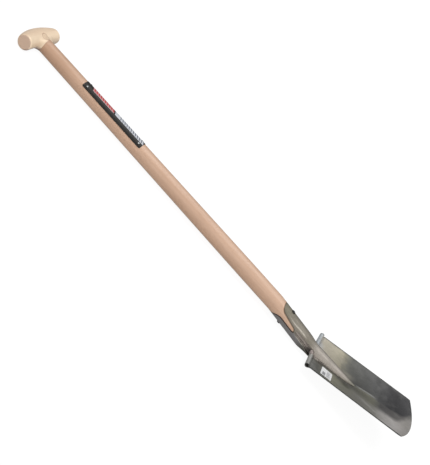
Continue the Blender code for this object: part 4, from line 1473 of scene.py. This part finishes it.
def corner_weld(name, side_y, seed):
    """Lump of weld that joins the inner end of a tread to the front strap."""
    spade = settings()
    lump, radius = spade.socket.lump_size, tread_radius()
    draw = random.Random(seed)
    smallest, largest = 0.86, 1.12
    mesh = turned(name, [(lump * math.sin(math.radians(turn)), -lump * math.cos(math.radians(turn)))
                         for turn in range(10, 180, 16)], 20)
    for vertex in mesh.vertices:
        vertex.co *= draw.uniform(smallest, largest)
    across = side_y * (spade.socket.low_diameter / 2 + 0.1 * lump)
    middle = (-0.6 * radius, across, plate_height(0.0, across) + 2.1 * radius)
    leaning = Matrix.Rotation(math.radians(-35.0), 4, "Y")
    drawn_out = Matrix.Diagonal((0.75, 0.55, 1.25, 1.0))
    moved(mesh, Matrix.Translation(middle) @ leaning @ drawn_out)
    obj = new_object(name, mesh)
    soften(obj)
    finished(obj, blade_frame(), steel_material(name, "lump_steel"), "front_strap_steel")


class SPADE_OT_socket(bpy.types.Operator):
    """Front and back strap with their welds and the rivet"""
    bl_idname = "spade.socket"
    bl_label = "Straps and rivet"

    def execute(self, context):
        spade = settings()
        socket, tones = spade.socket, spade.colours
        front, back = strap_shape("front"), strap_shape("back")
        light = strap_material("front_steel", tones.tip_steel, tones.front_steel, tones.tail_steel,
                               blade_top() - 0.020)
        dark = strap_material("back_steel", tones.back_steel, tones.back_steel, tones.heel_steel,
                              blade_top() - 0.046)
        make_strap("front_half_socket", front, light, "front_strap_steel", "front_strap")
        make_strap("back_half_socket", back, dark, "back_strap_steel", "back_strap")
        metal = steel_material("weld_steel", "weld_steel")
        burnt = tail_weld_material()
        for label, side_y, seed in (("near", -1, 11), ("far", 1, 12)):
            thin, root = socket.weld_width, socket.weld_root
            weld_bead("seam_weld_" + label, seam_path(side_y), (thin, thin), seed, metal, "front_strap_steel")
            weld_bead("front_tail_weld_" + label, tail_path(front, side_y),
                      (root if side_y < 0 else thin, thin), seed + 10,
                      burnt if side_y < 0 else metal, "front_strap_steel")
            weld_bead("back_tail_weld_" + label, tail_path(back, side_y), (root, thin), seed + 20,
                      burnt, "back_strap_steel")
            corner_weld("corner_weld_" + label, side_y, seed + 30)
        self.rivet(socket)
        return {"FINISHED"}

    def rivet(self, socket):
        station = socket.start + socket.rivet_station
        direction = Vector((math.sin(socket.crank), 0.0, math.cos(socket.crank)))
        radius, head, rise = socket.rivet_diameter / 2, socket.rivet_head / 2, socket.rivet_height
        seat = socket.diameter / 2 + socket.gap
        dome = [(head * math.cos(math.radians(turn)) ** 0.8, seat + rise * math.sin(math.radians(turn)))
                for turn in (8, 22, 36, 50, 64, 76, 85)]
        upper = [(radius, seat), (head * 0.97, seat)] + dome
        lower = [(width, -seat - socket.rivet_tail * (height - seat)) for width, height in reversed(upper)]
        place = tool_frame() @ standing((station, 0.0, neck_axis(station)), direction)
        obj = new_object("forged_rivet", turned("forged_rivet", lower + upper, 40))
        draw, dent = random.Random(5), 0.00006
        for vertex in obj.data.vertices:
            vertex.co += Vector([draw.uniform(-dent, dent) for _ in range(3)])
        finished(obj, place, steel_material("rivet_steel", "rivet_steel"), "rivet_steel", "rivet")


# Blade and sticker


WING_COLUMNS, NECK_COLUMNS = 30, 28


def blade_columns():
    """Shares of the half width across the plate, with a column on each side of the neck."""
    spade = settings()
    notch = spade.socket.low_diameter / 2 + 2 * spade.socket.gap + spade.blade.thickness / 4
    notch /= blade_half_width(0.0)
    near = steps(-1.0, -notch, WING_COLUMNS)
    middle = steps(-notch, notch, NECK_COLUMNS)
    far = steps(notch, 1.0, WING_COLUMNS)
    return near + middle[1:] + far[1:]


def plate_rows(shares):
    blade = settings().blade
    places = steps(0.0, blade.tread_run, 10) + steps(blade.tread_run, blade.length - blade.edge_taper, 56)[1:]
    places += steps(blade.length - blade.edge_taper, blade.length, 6)[1:]
    rows = []
    for place in places:
        half = blade_half_width(place)
        row = []
        for share in shares:
            along = place * (1.0 + blade.tip_bulge * (1.0 - share ** 2) / blade.length)
            row.append((along, share * half, plate_height(along, share * half)))
        rows.append(row)
    return rows


def tread_rows(shares):
    """Rolled edge on top of each wing, from the plate's own edge round towards the front."""
    blade = settings().blade
    radius, half = tread_radius(), blade_half_width(0.0)
    rows = []
    for turn in steps(0.0, blade.tread_wrap, 40)[1:]:
        rows.append([(-radius * math.sin(turn), share * half,
                      plate_height(0.0, share * half) + radius * (1.0 - math.cos(turn))) for share in shares])
    return rows


def plate_skin(name):
    """Middle surface of the plate and its treads, which leave the neck free."""
    shares = blade_columns()
    treads = tread_rows(shares)
    grid = treads[::-1] + plate_rows(shares)
    width = len(shares)
    faces = []
    for row in range(len(grid) - 1):
        for column in range(width - 1):
            in_wing = column < WING_COLUMNS or column >= WING_COLUMNS + NECK_COLUMNS
            if row >= len(treads) or in_wing:
                first = row * width + column
                faces.append((first, first + 1, first + width + 1, first + width))
    return mesh_from(name, [point for row in grid for point in row], faces, 60.0)


class SPADE_OT_blade(bpy.types.Operator):
    """Dished blade with a hollow rolled tread on each wing and a sharpened edge"""
    bl_idname = "spade.blade"
    bl_label = "Blade"

    def execute(self, context):
        blade = settings().blade
        obj = new_object("dished_blade", plate_skin("dished_blade"))
        plate = obj.vertex_groups.new(name="plate")
        for vertex in obj.data.vertices:
            edge = blade.length + blade.tip_bulge * (1.0 - (2.0 * vertex.co.y / blade.tip_width) ** 2)
            thin = smooth(vertex.co.x, edge - blade.edge_taper, edge)
            plate.add([vertex.index], mix(1.0, blade.edge_thickness, thin), "REPLACE")
        wall = obj.modifiers.new("plate", "SOLIDIFY")
        wall.thickness = blade.thickness
        wall.offset = 0.0
        wall.use_even_offset = True
        wall.vertex_group = "plate"
        wall.material_offset_rim = 1
        bevel_rims(obj, width=0.0003, degrees=50)
        finished(obj, blade_frame(), blade_material(), "blade_steel", "blade")
        obj.data.materials.append(steel_material("cut_edge", "edge_steel"))
        return {"FINISHED"}


class SPADE_OT_sticker(bpy.types.Operator):
    """Paper sticker on the near wing"""
    bl_idname = "spade.sticker"
    bl_label = "Sticker"

    def execute(self, context):
        spade = settings()
        sticker, blade = spade.sticker, spade.blade
        low = blade.thickness / 2 + spade.socket.gap
        high = low + sticker.thickness
        rings = []
        end = sticker.start + sticker.length
        rounding = [sticker.corner * (1.0 - math.cos(math.radians(turn))) for turn in (0, 30, 50, 70, 90)]
        places = [sticker.start + place for place in rounding]
        places += steps(sticker.start + sticker.corner, end - sticker.corner, 12)[1:]
        places += [end - place for place in reversed(rounding[:-1])]
        for along in places:
            inset = corner_inset(sticker.corner, min(along - sticker.start, end - along))
            edge = -blade_half_width(along) + sticker.from_edge
            across = steps(edge + inset, edge + sticker.width - inset, 18)
            rings.append([(along, y, plate_height(along, y, low)) for y in across]
                         + [(along, y, plate_height(along, y, high)) for y in reversed(across)])
        obj = new_object("paper_sticker", loft("paper_sticker", rings))
        finished(obj, blade_frame(), sticker_material(), "sticker_paper", "sticker")
        return {"FINISHED"}


# Stage


# Tones of the studio from its horizon (0) to overhead (1)
SKY_TONES = ((0.0, (0.40, 0.40, 0.40)), (0.14, (0.34, 0.34, 0.35)), (0.42, (0.22, 0.23, 0.25)),
             (0.85, (0.50, 0.50, 0.50)))


class SPADE_OT_stage(bpy.types.Operator):
    """Pale floor, soft studio light and the camera"""
    bl_idname = "spade.stage"
    bl_label = "Stage"

    def execute(self, context):
        spade = settings()
        self.floor(spade.stage, spade.colours)
        self.lights(spade.stage, spade.colours)
        self.camera(spade.stage)
        return {"FINISHED"}

    def floor(self, stage, tones):
        half = stage.floor_size / 2
        corners = [(-half, -half, 0.0), (half, -half, 0.0), (half, half, 0.0), (-half, half, 0.0)]
        obj = new_object("floor", mesh_from("floor", corners, [(0, 1, 2, 3)]))
        material, shader, place = new_material("light_table", roughness=0.9)
        feed(shader["Base Color"], tones.floor)
        feed(shader["Emission Color"], seen_by_camera(place.tree).blend(tones.floor_bounce, tones.floor_glow))
        feed(shader["Emission Strength"], 1.0)
        feed(shader["Specular IOR Level"], 0.0)
        obj.data.materials.append(material)

    def lights(self, stage, tones):
        scene = bpy.context.scene
        scene.view_settings.view_transform = "Standard"
        world = bpy.data.worlds.new("studio")
        world.use_nodes = True
        scene.world = world
        tree = world.node_tree
        sky = tree.nodes["Background"]
        place = wire(tree, "ShaderNodeTexCoord", "Generated")
        height = place.axis("Z")
        fill = place.axis("Y").rise(0.0, -0.8) * height.rise(0.45, 0.85, 1.0, 0.0)
        fill *= place.axis("X").rise(-0.6, 0.6, 0.6, 1.4)
        feed(sky.inputs["Color"], height.ramp(SKY_TONES).painted(fill, tones.front_fill))
        feed(sky.inputs["Strength"], fill * stage.fill_strength + stage.sky_strength)
        backdrop = wire(tree, "ShaderNodeBackground", 0, {"Color": tones.floor_glow})
        either = {0: seen_by_camera(tree), 1: Wire(tree, sky.outputs[0]), 2: backdrop}
        feed(tree.nodes["World Output"].inputs["Surface"], wire(tree, "ShaderNodeMixShader", 0, either))
        sun = bpy.data.lights.new("overhead", "SUN")
        sun.energy = stage.sun_strength
        sun.angle = stage.sun_spread
        lamp = new_object("overhead", sun)
        towards = Vector((-0.05, 0.12, 1.0))
        lamp.rotation_mode = "QUATERNION"
        lamp.rotation_quaternion = towards.to_track_quat("Z", "Y")

    def camera(self, stage):
        data = bpy.data.cameras.new("camera")
        data.sensor_fit = "VERTICAL"
        data.sensor_height = 36.0
        data.sensor_width = 36.0
        data.lens = stage.lens
        obj = new_object("camera", data)
        side, rise = stage.azimuth, stage.elevation
        back = Vector((math.sin(side) * math.cos(rise), -math.cos(side) * math.cos(rise), math.sin(rise)))
        right = Vector((math.cos(side), math.sin(side), 0.0))
        up = back.cross(right)
        turn = Matrix((right, up, back)).transposed().to_4x4()
        obj.matrix_world = Matrix.Translation(stage.place) @ turn @ Matrix.Rotation(stage.roll, 4, "Z")
        bpy.context.scene.camera = obj


# Panel and run


class SPADE_PT_panel(bpy.types.Panel):
    """Sizes, colours and steps of the spade"""
    bl_idname = "SPADE_PT_panel"
    bl_label = "Strapped Garden Spade"
    bl_space_type = "VIEW_3D"
    bl_region_type = "UI"
    bl_category = "Spade"

    def draw(self, context):
        spade = context.scene.spade
        for operator in OPERATORS:
            self.layout.operator(operator.bl_idname)
        for group_name in SpadeSettings.__annotations__:
            group = getattr(spade, group_name)
            box = self.layout.box()
            box.label(text=group_name.capitalize())
            for value_name in type(group).__annotations__:
                box.prop(group, value_name)


OPERATORS = (SPADE_OT_grip, SPADE_OT_shaft, SPADE_OT_strip, SPADE_OT_socket, SPADE_OT_blade,
             SPADE_OT_sticker, SPADE_OT_stage)
GROUPS = (LayOfTool, GripSizes, ShaftSizes, SocketSizes, BladeSizes, StripSizes, StickerSizes,
          FinishColours, StageSettings, SpadeSettings)


def register():
    for item in GROUPS + OPERATORS + (SPADE_PT_panel,):
        bpy.utils.register_class(item)
    bpy.types.Scene.spade = PointerProperty(type=SpadeSettings)


def unregister():
    del bpy.types.Scene.spade
    for item in reversed(GROUPS + OPERATORS + (SPADE_PT_panel,)):
        bpy.utils.unregister_class(item)


def main():
    register()
    bpy.ops.spade.grip()
    bpy.ops.spade.shaft()
    bpy.ops.spade.strip()
    bpy.ops.spade.socket()
    bpy.ops.spade.blade()
    bpy.ops.spade.sticker()
    bpy.ops.spade.stage()


if __name__ == "__main__":
    main()
